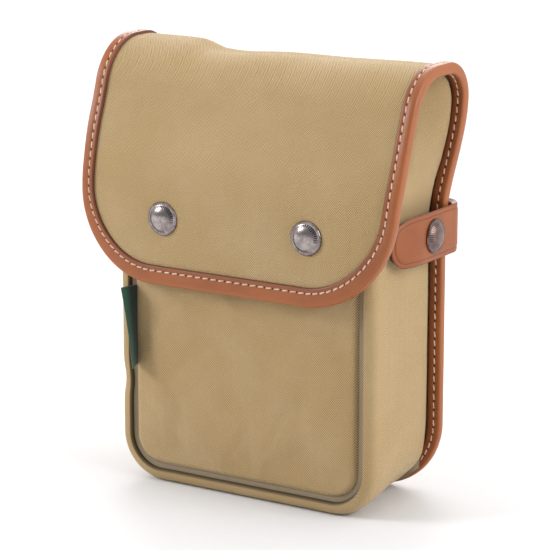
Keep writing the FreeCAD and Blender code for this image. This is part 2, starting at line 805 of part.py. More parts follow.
def tabs():
    """Both leather tabs, each split at its fold into an arm and a sewn anchor."""
    strap = tab_strap()
    point, away = tab_fold_axis()
    half_gap = away * (size("fold_gap") / 2)
    start = Vector(0, size("tab_stud"), size("tab_height"))
    hole = Part.makeCylinder(size("post_radius"), 2 * size("tab_face"), start, Vector(1, 0, 0))
    arm = strap.common(beyond(point - half_gap, away * -1)).cut(hole)
    anchor = strap.common(beyond(point + half_gap, away))
    mirror("left_tab", set_shape("right_tab", arm))
    mirror("left_tab_anchor", set_shape("right_tab_anchor", anchor))


def tab_studs():
    """The press stud of each tab and the leather patch under it."""
    on_tab = ("tab_face", "tab_stud", "tab_height")
    on_patch = ("patch_face", "tab_stud", "tab_height")
    cap = turned("right_tab_cap", cap_profile("tab_leather"), on_tab, "+X")
    mirror("left_tab_cap", cap)
    socket = turned("right_tab_socket", socket_profile("tab_leather"), on_tab, "+X")
    mirror("left_tab_socket", socket)
    pair("tab_studs", turned("tab_stud", stud_profile(), on_patch, "+X"))
    stack = "panel_stack + patch"
    pair("tab_eyelets", turned("tab_eyelet", eyelet_profile(stack), on_patch, "+X"))
    reach = "head_radius + wire_clearance + wire_radius"
    wires = []
    for side, sign in (("front", "-"), ("back", "+")):
        place = ("tab_face - tab_leather - wire_depth", f"tab_stud {sign} ({reach})", "tab_height")
        wires.append(bar(f"tab_wire_{side}", "wire_radius", "wire_length", place, "Z"))
    springs = doc.addObject("Part::Compound", "right_tab_spring")
    springs.Label = "right_tab_spring"
    springs.Links = wires
    mirror("left_tab_spring", springs)
    half = "patch_size / 2"
    corners = [(f"tab_stud - {half}", f"tab_height - {half}", "3"),
               (f"tab_stud + {half}", f"tab_height - {half}", "3"),
               (f"tab_stud + {half}", f"tab_height + {half}", "3"),
               (f"tab_stud - {half}", f"tab_height + {half}", "3")]
    body = new_body("patch_sheet")
    sketch = new_sketch(body, "YZ_Plane", ("0", "0", "body_width / 2"))
    outline(sketch, corners)
    pad(body, sketch, "patch")
    place = ("patch_face", "tab_stud", "tab_height")
    bore = bar("patch_bore", "post_radius", "4 * patch", place, "X")
    pair("tab_patches", cut("tab_patch", body, [bore]))


# ---------------------------------------------------------------- checks and export

NODES = [
    "front_panel", "front_foam", "front_lining", "mouth_facing", "back_panel", "back_foam",
    "back_lining", "inner_pocket", "back_binding", "gusset", "gusset_foam", "gusset_lining",
    "base_board", "side_label", "flap_studs", "flap_eyelets", "tab_patches", "tab_studs",
    "tab_eyelets", "right_tab_anchor", "left_tab_anchor", "flap_top_canvas",
    "flap_top_stiffener", "flap_top_lining", "flap_top_binding_left", "flap_top_binding_right",
    "flap_front_canvas", "flap_front_stiffener", "flap_front_lining", "flap_front_binding",
    "flap_caps", "flap_sockets", "flap_socket_springs", "right_tab", "right_tab_cap",
    "right_tab_socket", "right_tab_spring", "left_tab", "left_tab_cap", "left_tab_socket",
    "left_tab_spring",
]


def node_named(label):
    """The object whose label names a node."""
    found = doc.getObjectsByLabel(label)
    if len(found) != 1:
        raise RuntimeError(f"{len(found)} objects are labelled {label}")
    return found[0]


def check_document():
    """Stops if any object failed, or if any node's shape is empty or broken."""
    for item in doc.Objects:
        if "Invalid" in item.State or "Error" in item.State:
            raise RuntimeError(f"{item.Label} failed: {item.State}")
    for label in NODES:
        shape = node_named(label).Shape
        if shape.isNull() or not shape.isValid() or not shape.Solids:
            raise RuntimeError(f"{label} has no sound shape")


def export_nodes():
    """Writes one STEP file for each node."""
    os.makedirs("parts", exist_ok=True)
    for label in NODES:
        node_named(label).Shape.exportStep(f"parts/{label}.step")


def main():
    """Builds the pouch, checks it and writes its nodes."""
    fill_sheet()
    gusset_shells()
    front_layers()
    back_layers()
    back_binding()
    base_board()
    side_label()
    flap_leaves()
    flap_studs()
    tabs()
    tab_studs()
    doc.recompute()
    check_document()
    export_nodes()
    point, upward = fold_line()
    outward = Vector(0, -upward.z, upward.y) * size("leather")
    print("front fold axis through", point + outward)
    print("right tab fold axis through", tab_fold_axis()[0])
    print(len(NODES), "nodes written")


main()
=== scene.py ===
"""Harness pouch in canvas and leather: soft goods, leather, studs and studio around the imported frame."""

import json
import logging
import math
from dataclasses import dataclass, field
from enum import Enum
from typing import Callable, Sequence

import bpy
from mathutils import Matrix, Vector, noise


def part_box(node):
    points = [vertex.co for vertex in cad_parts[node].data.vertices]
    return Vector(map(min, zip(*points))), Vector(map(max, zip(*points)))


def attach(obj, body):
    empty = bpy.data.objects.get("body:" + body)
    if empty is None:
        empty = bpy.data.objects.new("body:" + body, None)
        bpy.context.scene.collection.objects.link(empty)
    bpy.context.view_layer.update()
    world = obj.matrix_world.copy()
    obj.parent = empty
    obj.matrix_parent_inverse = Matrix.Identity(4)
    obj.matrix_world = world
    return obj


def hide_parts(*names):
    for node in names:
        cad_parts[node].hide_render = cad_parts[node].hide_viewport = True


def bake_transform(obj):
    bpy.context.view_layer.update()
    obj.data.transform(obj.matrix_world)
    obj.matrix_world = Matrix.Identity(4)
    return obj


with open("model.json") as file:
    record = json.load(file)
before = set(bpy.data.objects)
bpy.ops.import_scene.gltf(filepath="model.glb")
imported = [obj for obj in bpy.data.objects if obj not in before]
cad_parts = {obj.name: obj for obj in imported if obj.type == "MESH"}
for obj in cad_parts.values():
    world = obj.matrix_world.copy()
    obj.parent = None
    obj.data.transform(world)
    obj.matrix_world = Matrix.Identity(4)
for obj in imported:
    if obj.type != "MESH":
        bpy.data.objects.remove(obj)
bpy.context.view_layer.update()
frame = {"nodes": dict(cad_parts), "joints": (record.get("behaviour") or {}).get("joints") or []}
LOG = logging.getLogger("harness_pouch")
MM = 0.001
WEAVE = "weave"
ARC_MIDDLE = 0.293  # share of a corner's radius from its square corner to the middle of its arc

Place = Callable[[float, float], Vector]
Pair = tuple[float, float]


class Slot(Enum):
    """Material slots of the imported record."""

    CANVAS = "canvas"
    LINING = "lining"
    BINDING = "binding_leather"
    TAB = "tab_leather"
    CAP = "stud_metal"
    RIBBON = "label_ribbon"


class Body(Enum):
    """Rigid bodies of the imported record."""

    POUCH = "pouch_body"
    FLAP_TOP = "flap_top"
    FLAP_FRONT = "flap_front"
    RIGHT_TAB = "right_tab_arm"
    LEFT_TAB = "left_tab_arm"


class Side(Enum):
    """The two sides of the pouch, as the sign of X."""

    RIGHT = 1
    LEFT = -1


# ------------------------------------------------------------------ lines and places


class RoundedLine:
    """A flat line with rounded corners, measured along its own length."""

    def __init__(self, corners: Sequence[tuple[float, float, float]]) -> None:
        """Splits the line into straight runs and arcs.

        Args:
            corners: First coordinate, second coordinate and corner radius of each corner.
        """
        points = [Vector((a, b)) for a, b, _ in corners]
        self.runs: list[tuple[float, Callable[[float], tuple[Vector, Vector]]]] = []
        here = points[0]
        for i in range(1, len(points) - 1):
            before = (points[i - 1] - points[i]).normalized()
            after = (points[i + 1] - points[i]).normalized()
            half = before.angle(after) / 2
            reach = corners[i][2] / math.tan(half)
            self._add_straight(here, points[i] + before * reach)
            here = points[i] + after * reach
            self._add_arc(points[i] + before * reach, -before, after, corners[i][2])
        self._add_straight(here, points[-1])
        self.length = sum(length for length, _ in self.runs)

    def _add_straight(self, start: Vector, end: Vector) -> None:
        """Adds a straight run."""
        length = (end - start).length
        if length < 1e-9:
            return
        heading = (end - start) / length
        self.runs.append((length, lambda s: (start + heading * s, heading)))

    def _add_arc(self, start: Vector, into: Vector, out: Vector, radius: float) -> None:
        """Adds an arc from one heading to another."""
        turn = into.angle_signed(out)
        if radius < 1e-9 or abs(turn) < 1e-9:
            return
        side = 1.0 if turn < 0 else -1.0
        centre = start + Vector((-into.y, into.x)) * (radius * side)

        def at(s: float) -> tuple[Vector, Vector]:
            spun = Matrix.Rotation(side * s / radius, 2)
            return centre + spun @ (start - centre), spun @ into

        self.runs.append((abs(turn) * radius, at))

    def at(self, s: float) -> tuple[Vector, Vector]:
        """Finds the place and the heading at a length along the line.

        Args:
            s: Length from the start; beyond either end the line runs on straight.

        Returns:
            The place and the unit heading.
        """
        if s <= 0:
            place, heading = self.runs[0][1](0.0)
            return place + heading * s, heading
        for length, run in self.runs:
            if s <= length:
                return run(s)
            s -= length
        place, heading = self.runs[-1][1](self.runs[-1][0])
        return place + heading * s, heading


def smooth(value: float, low: float, high: float) -> float:
    """Eases from 0 at low to 1 at high."""
    t = min(max((value - low) / (high - low), 0.0), 1.0)
    return t * t * (3 - 2 * t)


def bump(value: float, middle: float, width: float) -> float:
    """A soft hill of height 1 about a middle."""
    return math.exp(-(((value - middle) / width) ** 2))


def ripple(x: float, y: float, size: float, seed: float) -> float:
    """Smooth repeatable undulation from -1 to 1 over places size apart."""
    return noise.noise(Vector((x / size, y / size, seed)))


@dataclass
class Pattern:
    """The pouch's pattern: sizes read from the frame, and the cutter's own allowances."""

    back_flange: float = 5.0 * MM
    lean: float = 18.7 * MM
    knee: float = 141.0 * MM
    knee_radius: float = 60.0 * MM
    shoulder_radius: float = 24.0 * MM
    arch_radius: float = 15.0 * MM
    back_corner: float = 32.0 * MM
    left_corner: float = 38.0 * MM
    right_corner: float = 41.0 * MM
    right_taper: float = 3.4 * MM
    body_corner: float = 21.0 * MM
    canvas: float = 1.2 * MM
    leather: float = 1.3 * MM
    flap_stack: float = 2.4 * MM
    binding_width: float = 6.5 * MM
    taper_start: float = 118.0 * MM
    taper_end: float = 178.0 * MM
    middle_y: float = 11.0 * MM

    def __post_init__(self) -> None:
        """Reads the frame and lays out the one-piece back and flap."""
        self.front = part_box("front_panel")[0].y
        self.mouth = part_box("front_panel")[1].z
        self.seam_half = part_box("front_panel")[1].x
        self.seam_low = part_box("front_panel")[0].z
        self.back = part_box("back_panel")[1].y
        self.body_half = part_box("gusset")[1].x
        self.gusset_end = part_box("gusset")[1].y
        self.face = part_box("flap_front_canvas")[0].y
        self.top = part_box("flap_top_canvas")[1].z
        self.flap_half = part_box("flap_front_binding")[1].x
        self.flap_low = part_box("flap_front_binding")[0].z
        self.back_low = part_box("back_binding")[0].z
        self.back_half = self.body_half + self.back_flange
        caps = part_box("flap_caps")
        self.stud_z = (caps[0].z + caps[1].z) / 2
        self.cap_radius = (caps[1].z - caps[0].z) / 2
        self.stud_x = caps[1].x - self.cap_radius
        self.joints = {joint["name"]: joint for joint in frame["joints"]}
        self.back_fold = Vector(self.joints["flap_back_fold"]["pos_m"])
        self.front_fold = Vector(self.joints["flap_front_fold"]["pos_m"])
        self.profile = RoundedLine([
            (self.back, self.back_low, 0.0),
            (self.back, self.top, self.arch_radius),
            (self.face + self.lean, self.top, self.shoulder_radius),
            (self.face, self.knee, self.knee_radius),
            (self.face, self.flap_low, 0.0),
        ])
        self.length = self.profile.length
        rise = self.top - self.back_low - self.arch_radius
        arch = self.arch_radius * math.pi / 2
        self.middle = rise + arch + (self.back - self.arch_radius - self.middle_y)

    def half_width(self, s: float, side: float = 1.0) -> float:
        """Width from the middle to one side at a length up the back, over and down the flap."""
        wide = smooth(s, self.taper_start, self.taper_end)
        half = self.back_half + (self.flap_half - self.back_half) * wide
        low, high = self.back_corner, self.right_corner if side > 0 else self.left_corner
        if s < low:
            half -= low - math.sqrt(max(low * low - (low - s) ** 2, 0.0))
        if s > self.length - high:
            short = high - (self.length - s)
            half -= high - math.sqrt(max(high * high - short * short, 0.0))
        if side > 0:
            half -= self.right_taper * smooth(s, self.length - 72 * MM, self.length - 14 * MM)
        return half

    def relief(self, x: float, s: float) -> float:
        """How far the cloth stands out of its plain profile.

        Args:
            x: Place across the pouch.
            s: Length up the back, over the top and down the flap.

        Returns:
            The outward offset in metres.
        """
        on_top = smooth(s, self.taper_end, self.middle) * (1 - smooth(s, self.middle, self.middle + 0.045))
        left_end = 1 - smooth(x, -0.046, -0.034)
        right_end = smooth(x, 0.02, 0.075)
        top = (2.0 * left_end - 1.6 * bump(x, -0.026, 0.016) - 1.0 * (1 - left_end) + 0.9 * right_end) * MM
        leaf = smooth(s, self.middle + 0.05, self.length - 0.05)
        crown = 1.1 * MM * leaf * (1 - (x / self.flap_half) ** 2)
        down = self.length - s - (self.stud_z - self.flap_low)
        pull = 0.0
        for sign in (-1, 1):
            away = math.hypot(x - sign * self.stud_x, down)
            pull += bump(away, 0.0, 11 * MM)
        curl = -1.4 * MM * leaf * smooth(abs(x), self.flap_half - 0.028, self.flap_half)
        waves = 0.35 * MM * ripple(x, s, 34 * MM, 3.0) * smooth(s, 0.02, 0.06)
        return on_top * top + crown * (1 - min(pull, 1.0)) + curl + waves

    def cloth(self, x: float, s: float, out: float = 0.0) -> Vector:
        """A place on the one-piece back and flap, at a distance outside its canvas face."""
        place, heading = self.profile.at(s)
        normal = Vector((heading.y, -heading.x))
        offset = out + self.relief(x, s)
        return Vector((x, place.x + normal.x * offset, place.y + normal.y * offset))

    def outward(self, s: float) -> Vector:
        """The outward direction of the back and flap at a length along it."""
        heading = self.profile.at(s)[1]
        return Vector((0.0, heading.y, -heading.x))

    def edge_line(self, upper: bool) -> list[tuple[Vector, Vector]]:
        """Follows the cut edge of the flap, or of the back, from left to right.

        Args:
            upper: True for the flap's edge, False for the back's.

        Returns:
            Places and inward directions as (x, s) pairs, a step apart.
        """
        start = self.middle
        end = self.length if upper else 0.0
        count = 150
        lengths = [start + (end - start) * math.sin(i / count * math.pi / 2) for i in range(count + 1)]
        left = [Vector((-self.half_width(s, -1.0), s)) for s in lengths]
        right = [Vector((self.half_width(s, 1.0), s)) for s in lengths]
        bottom = [left[-1].lerp(right[-1], i / 60) for i in range(1, 60)]
        return self._with_inward(resampled(left + bottom + right[::-1], 0.62 * MM))

    def _with_inward(self, line: list[Vector]) -> list[tuple[Vector, Vector]]:
        """Adds to each point the unit direction that leads into the panel."""
        result = []
        for i, point in enumerate(line):
            along = line[min(i + 1, len(line) - 1)] - line[max(i - 1, 0)]
            across = Vector((-along.y, along.x)).normalized()
            inside = Vector((0.0, (self.middle + (self.length if point.y > self.middle else 0.0)) / 2))
            if across.dot(inside - point) < 0:
                across = -across
            result.append((point, across))
        return result


def run_lengths(line: Sequence[Vector]) -> list[float]:
    """Length along a line at each of its points."""
    lengths = [0.0]
    for a, b in zip(line, line[1:]):
        lengths.append(lengths[-1] + (b - a).length)
    return lengths


def resampled(line: Sequence[Vector], step: float) -> list[Vector]:
    """Spaces the points of a line evenly.

    Args:
        line: Points in two or three dimensions.
        step: Wanted spacing in metres.

    Returns:
        Points about a step apart, the first and last as given.
    """
    lengths = run_lengths(line)
    count = max(2, round(lengths[-1] / step))
    result, i = [], 0
    for k in range(count + 1):
        want = lengths[-1] * k / count
        while i < len(line) - 2 and lengths[i + 1] < want:
            i += 1
        span = max(lengths[i + 1] - lengths[i], 1e-12)
        result.append(line[i].lerp(line[i + 1], min((want - lengths[i]) / span, 1.0)))
    return result


# --------------------------------------------------------------------- mesh workshop


def clear_selection() -> None:
    """Deselects everything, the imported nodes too."""
    bpy.ops.object.select_all(action="DESELECT")


def select_only(piece: bpy.types.Object) -> None:
    """Selects one piece and makes it active."""
    clear_selection()
    piece.select_set(True)
    bpy.context.view_layer.objects.active = piece


def apply_modifiers(piece: bpy.types.Object) -> None:
    """Applies every modifier of a piece."""
    select_only(piece)
    for modifier in list(piece.modifiers):
        bpy.ops.object.modifier_apply(modifier=modifier.name)


def shade(piece: bpy.types.Object, degrees: float = 40.0) -> None:
    """Shades a piece smooth with its sharp edges kept."""
    select_only(piece)
    bpy.ops.object.shade_smooth_by_angle(angle=math.radians(degrees))


def thicken(piece: bpy.types.Object, thickness: float, rim_material: int = 0) -> None:
    """Gives a sheet its thickness behind its face.

    Args:
        piece: The open sheet.
        thickness: Thickness in metres.
        rim_material: Offset of the material used on the cut edge.
    """
    wall = piece.modifiers.new("wall", "SOLIDIFY")
    wall.thickness = thickness
    wall.offset = -1.0
    wall.material_offset_rim = rim_material
    apply_modifiers(piece)


def cloth_grid(name: str, columns: int, rows: int, place: Place,
               weave: Callable[[float, float], Pair], flip: bool = False) -> bpy.types.Object:
    """Lays a grid of cloth over a surface.

    Args:
        name: Name of the piece.
        columns: Faces across.
        rows: Faces along.
        place: Gives the place for the shares across and along, each from 0 to 1.
        weave: Gives the cloth's own coordinates in metres for the same shares.
        flip: True where the shares run so that the face would point inwards.

    Returns:
        The open sheet, with its own coordinates in a UV map.
    """
    clear_selection()
    bpy.ops.mesh.primitive_grid_add(x_subdivisions=columns, y_subdivisions=rows, size=2)
    piece = bpy.context.object
    piece.name = name
    mesh = piece.data
    mesh.name = name
    shares = [((v.co.x + 1) / 2, (v.co.y + 1) / 2) for v in mesh.vertices]
    layer = mesh.uv_layers.active
    layer.name = WEAVE
    for loop in mesh.loops:
        layer.data[loop.index].uv = weave(*shares[loop.vertex_index])
    for vertex, share in zip(mesh.vertices, shares):
        vertex.co = place(*share)
    if flip:
        mesh.flip_normals()
    return piece


def mesh_piece(name: str, points: Sequence[Vector], faces: Sequence[Sequence[int]]) -> bpy.types.Object:
    """Adds a piece from points and faces."""
    mesh = bpy.data.meshes.new(name)
    mesh.from_pydata([tuple(p) for p in points], [], [tuple(f) for f in faces])
    mesh.update()
    piece = bpy.data.objects.new(name, mesh)
    bpy.context.scene.collection.objects.link(piece)
    return piece


def face_outwards(piece: bpy.types.Object) -> None:
    """Recalculates a closed piece's normals to point outwards."""
    select_only(piece)
    bpy.ops.object.mode_set(mode="EDIT")
    bpy.ops.mesh.select_all(action="SELECT")
    bpy.ops.mesh.normals_make_consistent(inside=False)
    bpy.ops.object.mode_set(mode="OBJECT")


def turned_piece(name: str, rings: Sequence[Pair], place: Vector, outward: Vector,
                 facets: int = 56) -> bpy.types.Object:
    """Turns a piece from a circle that is extruded ring by ring.

    Args:
        name: Name of the piece.
        rings: Radius and outward distance of each ring, from the first end to the last.
        place: Centre of the ring at distance 0.
        outward: Unit direction of the axis.
        facets: Sides of each ring.

    Returns:
        The closed piece with a UV map of angle share and radius.
    """
    clear_selection()
    radius, height = rings[0]
    bpy.ops.mesh.primitive_circle_add(vertices=facets, radius=radius, fill_type="TRIFAN",
                                      location=(0, 0, height))
    piece = bpy.context.object
    piece.name = name
    piece.data.name = name
    bpy.ops.object.transform_apply(location=True, rotation=False, scale=False)
    bpy.ops.object.mode_set(mode="EDIT")
    bpy.ops.mesh.select_all(action="SELECT")
    for wider, higher in rings[1:]:
        move = {"value": (0, 0, higher - height)}
        bpy.ops.mesh.extrude_region_move(TRANSFORM_OT_translate=move)
        share = max(wider, 0.02 * MM) / radius
        bpy.ops.transform.resize(value=(share, share, 1), center_override=(0, 0, higher))
        radius, height = max(wider, 0.02 * MM), higher
    bpy.ops.object.mode_set(mode="OBJECT")
    face_outwards(piece)
    layer = piece.data.uv_layers.get(WEAVE) or piece.data.uv_layers.new(name=WEAVE)
    for loop in piece.data.loops:
        co = piece.data.vertices[loop.vertex_index].co
        layer.data[loop.index].uv = (math.atan2(co.y, co.x) / math.tau, math.hypot(co.x, co.y))
    turn = Vector((0, 0, 1)).rotation_difference(outward).to_matrix().to_4x4()
    piece.data.transform(Matrix.Translation(place) @ turn)
    return piece


def joined(name: str, pieces: Sequence[bpy.types.Object]) -> bpy.types.Object:
    """Joins pieces into one."""
    clear_selection()
    for piece in pieces:
        piece.select_set(True)
    bpy.context.view_layer.objects.active = pieces[0]
    bpy.ops.object.join()
    pieces[0].name = name
    return pieces[0]


def mirrored_copy(piece: bpy.types.Object, name: str) -> bpy.types.Object:
    """Copies a piece to the other side of the pouch, with its own mesh."""
    copy = piece.copy()
    copy.data = piece.data.copy()
    copy.name = name
    copy.data.name = name
    bpy.context.scene.collection.objects.link(copy)
    copy.data.transform(Matrix.Scale(-1, 4, Vector((1, 0, 0))))
    copy.data.flip_normals()
    return copy


@dataclass
class Thread:
    """Saddle stitching: one short fat stitch between each two needle holes."""

    pitch: float = 4.0 * MM
    length: float = 2.95 * MM
    radius: float = 0.37 * MM
    slant: float = 0.14
    sides: int = 6

    def stitch(self) -> tuple[list[Vector], list[tuple[int, ...]]]:
        """Models one stitch along X, its ends turned down into the holes."""
        rings = [(-0.5, 0.35, -0.9), (-0.42, 0.85, -0.2), (-0.2, 1.0, 0.15), (0.2, 1.0, 0.15),
                 (0.42, 0.85, -0.2), (0.5, 0.35, -0.9)]
        points, faces = [], []
        for share, size, lift in rings:
            for k in range(self.sides):
                angle = math.tau * k / self.sides
                across = math.cos(angle) * self.radius * size
                up = (math.sin(angle) * size + lift) * self.radius
                points.append(Vector((share * self.length, across, up)))
        for ring in range(len(rings) - 1):
            for k in range(self.sides):
                a, b = ring * self.sides + k, ring * self.sides + (k + 1) % self.sides
                faces.append((a, b, b + self.sides, a + self.sides))
        faces.append(tuple(range(self.sides))[::-1])
        last = (len(rings) - 1) * self.sides
        faces.append(tuple(range(last, last + self.sides)))
        return points, faces

    def row(self, name: str, places: Sequence[tuple[Vector, Vector, Vector]]) -> bpy.types.Object:
        """Sews a row of stitches.

        Args:
            name: Name of the piece.
            places: Middle, heading and outward direction of each stitch.

        Returns:
            One piece that holds every stitch of the row.
        """
        shape, sides = self.stitch()
        points: list[Vector] = []
        faces: list[tuple[int, ...]] = []
        for middle, heading, outward in places:
            side = outward.cross(heading).normalized()
            ahead = (heading + side * self.slant).normalized()
            side = outward.cross(ahead).normalized()
            turn = Matrix((ahead, side, outward)).transposed()
            start = len(points)
            points += [middle + turn @ p for p in shape]
            faces += [tuple(start + i for i in f) for f in sides]
        piece = mesh_piece(name, points, faces)
        face_outwards(piece)
        shade(piece, 80.0)
        return piece

    def along(self, line: Sequence[tuple[Vector, Vector]],
              marks: Sequence[float] = ()) -> list[tuple[Vector, Vector, Vector]]:
        """Spaces stitches along a line.

        Args:
            line: Places and outward directions, closely spaced.
            marks: Length at which each place counts; the line's own length if left out.

        Returns:
            Middle, heading and outward direction of each stitch.
        """
        marks = list(marks) or run_lengths([place for place, _ in line])
        places, due = [], self.pitch / 2
        for (a, out), (b, _), here, there in zip(line, line[1:], marks, marks[1:]):
            while due <= there:
                share = (due - here) / max(there - here, 1e-9)
                places.append((a.lerp(b, share), (b - a).normalized(), out))
                due += self.pitch
        return places


# -------------------------------------------------------------------------- finishes


class NodeDesk:
    """Builds one material's nodes."""

    def __init__(self, name: str) -> None:
        """Starts a material with a Principled shader."""
        self.material = bpy.data.materials.new(name)
        self.material.use_nodes = True
        self.tree = self.material.node_tree
        self.tree.nodes.clear()
        self.output = self.tree.nodes.new("ShaderNodeOutputMaterial")
        self.shader = self.tree.nodes.new("ShaderNodeBsdfPrincipled")
        self.tree.links.new(self.shader.outputs[0], self.output.inputs["Surface"])

    def set(self, **values: float) -> None:
        """Sets constant values on the shader's own sockets; an underscore stands for a space."""
        for name, value in values.items():
            self.shader.inputs[name.replace("_", " ")].default_value = value

    def feed(self, socket: bpy.types.NodeSocket, value: object) -> None:
        """Links a socket, or sets its value."""
        if isinstance(value, bpy.types.NodeSocket):
            self.tree.links.new(value, socket)
        else:
            socket.default_value = value

    def sum(self, operation: str, *values: object, clamp: bool = False) -> bpy.types.NodeSocket:
        """A Math node."""
        node = self.tree.nodes.new("ShaderNodeMath")
        node.operation = operation
        node.use_clamp = clamp
        for socket, value in zip(node.inputs, values):
            self.feed(socket, value)
        return node.outputs[0]

    def band(self, value: object, low: float, high: float, out: Pair = (0.0, 1.0)) -> bpy.types.NodeSocket:
        """A smooth step from low to high."""
        node = self.tree.nodes.new("ShaderNodeMapRange")
        node.interpolation_type = "SMOOTHSTEP"
        for name, number in zip(("Value", "From Min", "From Max", "To Min", "To Max"),
                                (value, low, high, *out)):
            self.feed(node.inputs[name], number)
        return node.outputs[0]

    def mix(self, share: object, first: object, second: object, how: str = "MIX") -> bpy.types.NodeSocket:
        """Mixes two colours."""
        node = self.tree.nodes.new("ShaderNodeMix")
        node.data_type = "RGBA"
        node.blend_type = how
        self.feed(node.inputs[0], share)
        self.feed(node.inputs[6], first)
        self.feed(node.inputs[7], second)
        return node.outputs[2]

    def uv(self, name: str = WEAVE) -> bpy.types.NodeSocket:
        """A piece's own coordinates."""
        node = self.tree.nodes.new("ShaderNodeUVMap")
        node.uv_map = name
        return node.outputs[0]

    def space(self) -> bpy.types.NodeSocket:
        """Object coordinates."""
        return self.tree.nodes.new("ShaderNodeTexCoord").outputs["Object"]

    def split(self, vector: bpy.types.NodeSocket) -> tuple[bpy.types.NodeSocket, bpy.types.NodeSocket]:
        """The first two parts of a vector."""
        node = self.tree.nodes.new("ShaderNodeSeparateXYZ")
        self.feed(node.inputs[0], vector)
        return node.outputs[0], node.outputs[1]

    def noise(self, vector: bpy.types.NodeSocket, scale: float, detail: float = 3.0,
              rough: float = 0.55) -> bpy.types.NodeSocket:
        """Noise from 0 to 1."""
        node = self.tree.nodes.new("ShaderNodeTexNoise")
        self.feed(node.inputs["Vector"], vector)
        node.inputs["Scale"].default_value = scale
        node.inputs["Detail"].default_value = detail
        node.inputs["Roughness"].default_value = rough
        return node.outputs["Fac"]

    def cells(self, vector: bpy.types.NodeSocket, scale: float) -> bpy.types.NodeSocket:
        """Distance inside small irregular cells."""
        node = self.tree.nodes.new("ShaderNodeTexVoronoi")
        self.feed(node.inputs["Vector"], vector)
        node.inputs["Scale"].default_value = scale
        return node.outputs["Distance"]

    def relief(self, height: bpy.types.NodeSocket, depth: float, strength: float = 1.0) -> None:
        """Raises the surface by a height from 0 to 1, depth metres deep."""
        node = self.tree.nodes.new("ShaderNodeBump")
        node.inputs["Strength"].default_value = strength
        node.inputs["Distance"].default_value = depth
        self.feed(node.inputs["Height"], height)
        self.tree.links.new(node.outputs[0], self.shader.inputs["Normal"])

    def colour(self, value: object) -> None:
        """Feeds the base colour."""
        self.feed(self.shader.inputs["Base Color"], value)

    def roughness(self, value: object) -> None:
        """Feeds the roughness."""
        self.feed(self.shader.inputs["Roughness"], value)


Colour = tuple[float, float, float, float]


@dataclass(frozen=True)
class Herringbone:
    """Herringbone twill: zigzag ribs of lighter yarn over darker yarn."""

    name: str
    light: Colour
    dark: Colour
    column: float = 2.15 * MM
    rib: float = 1.15 * MM
    steep: float = 1.5
    yarn: float = 0.42 * MM
    relief: float = 0.16 * MM
    # Width of the band of painted shade along the seam at the cloth's start; 0 leaves it out.
    seam: float = 0.0

    def make(self) -> bpy.types.Material:
        """Builds the material from the cloth's own coordinates; painted shade darkens a band along a seam at
        its start.
        """
        desk = NodeDesk(self.name)
        weave = desk.uv()
        across, along = desk.split(weave)
        zigzag = desk.sum("PINGPONG", across, self.column)
        column = desk.sum("FLOOR", desk.sum("DIVIDE", across, self.column))
        shift = desk.sum("MULTIPLY", desk.sum("MODULO", column, 2.0), self.rib / 2)
        slope = desk.sum("MULTIPLY_ADD", zigzag, self.steep, along)
        phase = desk.sum("DIVIDE", desk.sum("ADD", slope, shift), self.rib)
        wave = desk.sum("SINE", desk.sum("MULTIPLY", phase, math.tau))
        rib = desk.sum("MULTIPLY_ADD", wave, 0.5, 0.5)
        counter = desk.sum("MULTIPLY_ADD", zigzag, -1 / self.steep, along)
        twist = desk.sum("SINE", desk.sum("MULTIPLY", counter, math.tau / self.yarn))
        thread = desk.sum("MULTIPLY_ADD", twist, 0.5, 0.5)
        fuzz = desk.noise(weave, 1900.0, 4.0, 0.7)
        patches = desk.noise(weave, 26.0, 3.0)
        height = desk.sum("MULTIPLY_ADD", thread, 0.25, desk.sum("MULTIPLY_ADD", fuzz, 0.35, rib))
        lit = desk.band(rib, 0.10, 0.80)
        share = desk.sum("MULTIPLY_ADD", thread, 0.14, desk.sum("MULTIPLY", lit, 0.70))
        share = desk.sum("MULTIPLY_ADD", fuzz, 0.3, share, clamp=True)
        tone = desk.mix(share, self.dark, self.light)
        faded_and_shaded = desk.mix(desk.band(patches, 0.35, 0.7, (0.0, 0.05)), tone, (0.95, 0.85, 0.68, 1.0))
        # Painted shade: darkens the cloth near the seam, standing in for the shadow in the crease there.
        if self.seam:
            painted_shade = desk.band(across, 0.62 * self.seam, self.seam, (0.94, 0.0))
            faded_and_shaded = desk.mix(painted_shade, faded_and_shaded, (0.035, 0.019, 0.007, 1.0))
        desk.colour(faded_and_shaded)
        desk.roughness(desk.band(rib, 0.0, 1.0, (0.92, 0.78)))
        desk.relief(height, self.relief, 0.75)
        desk.set(Sheen_Weight=0.18, Sheen_Roughness=0.45, Specular_IOR_Level=0.25)
        return desk.material


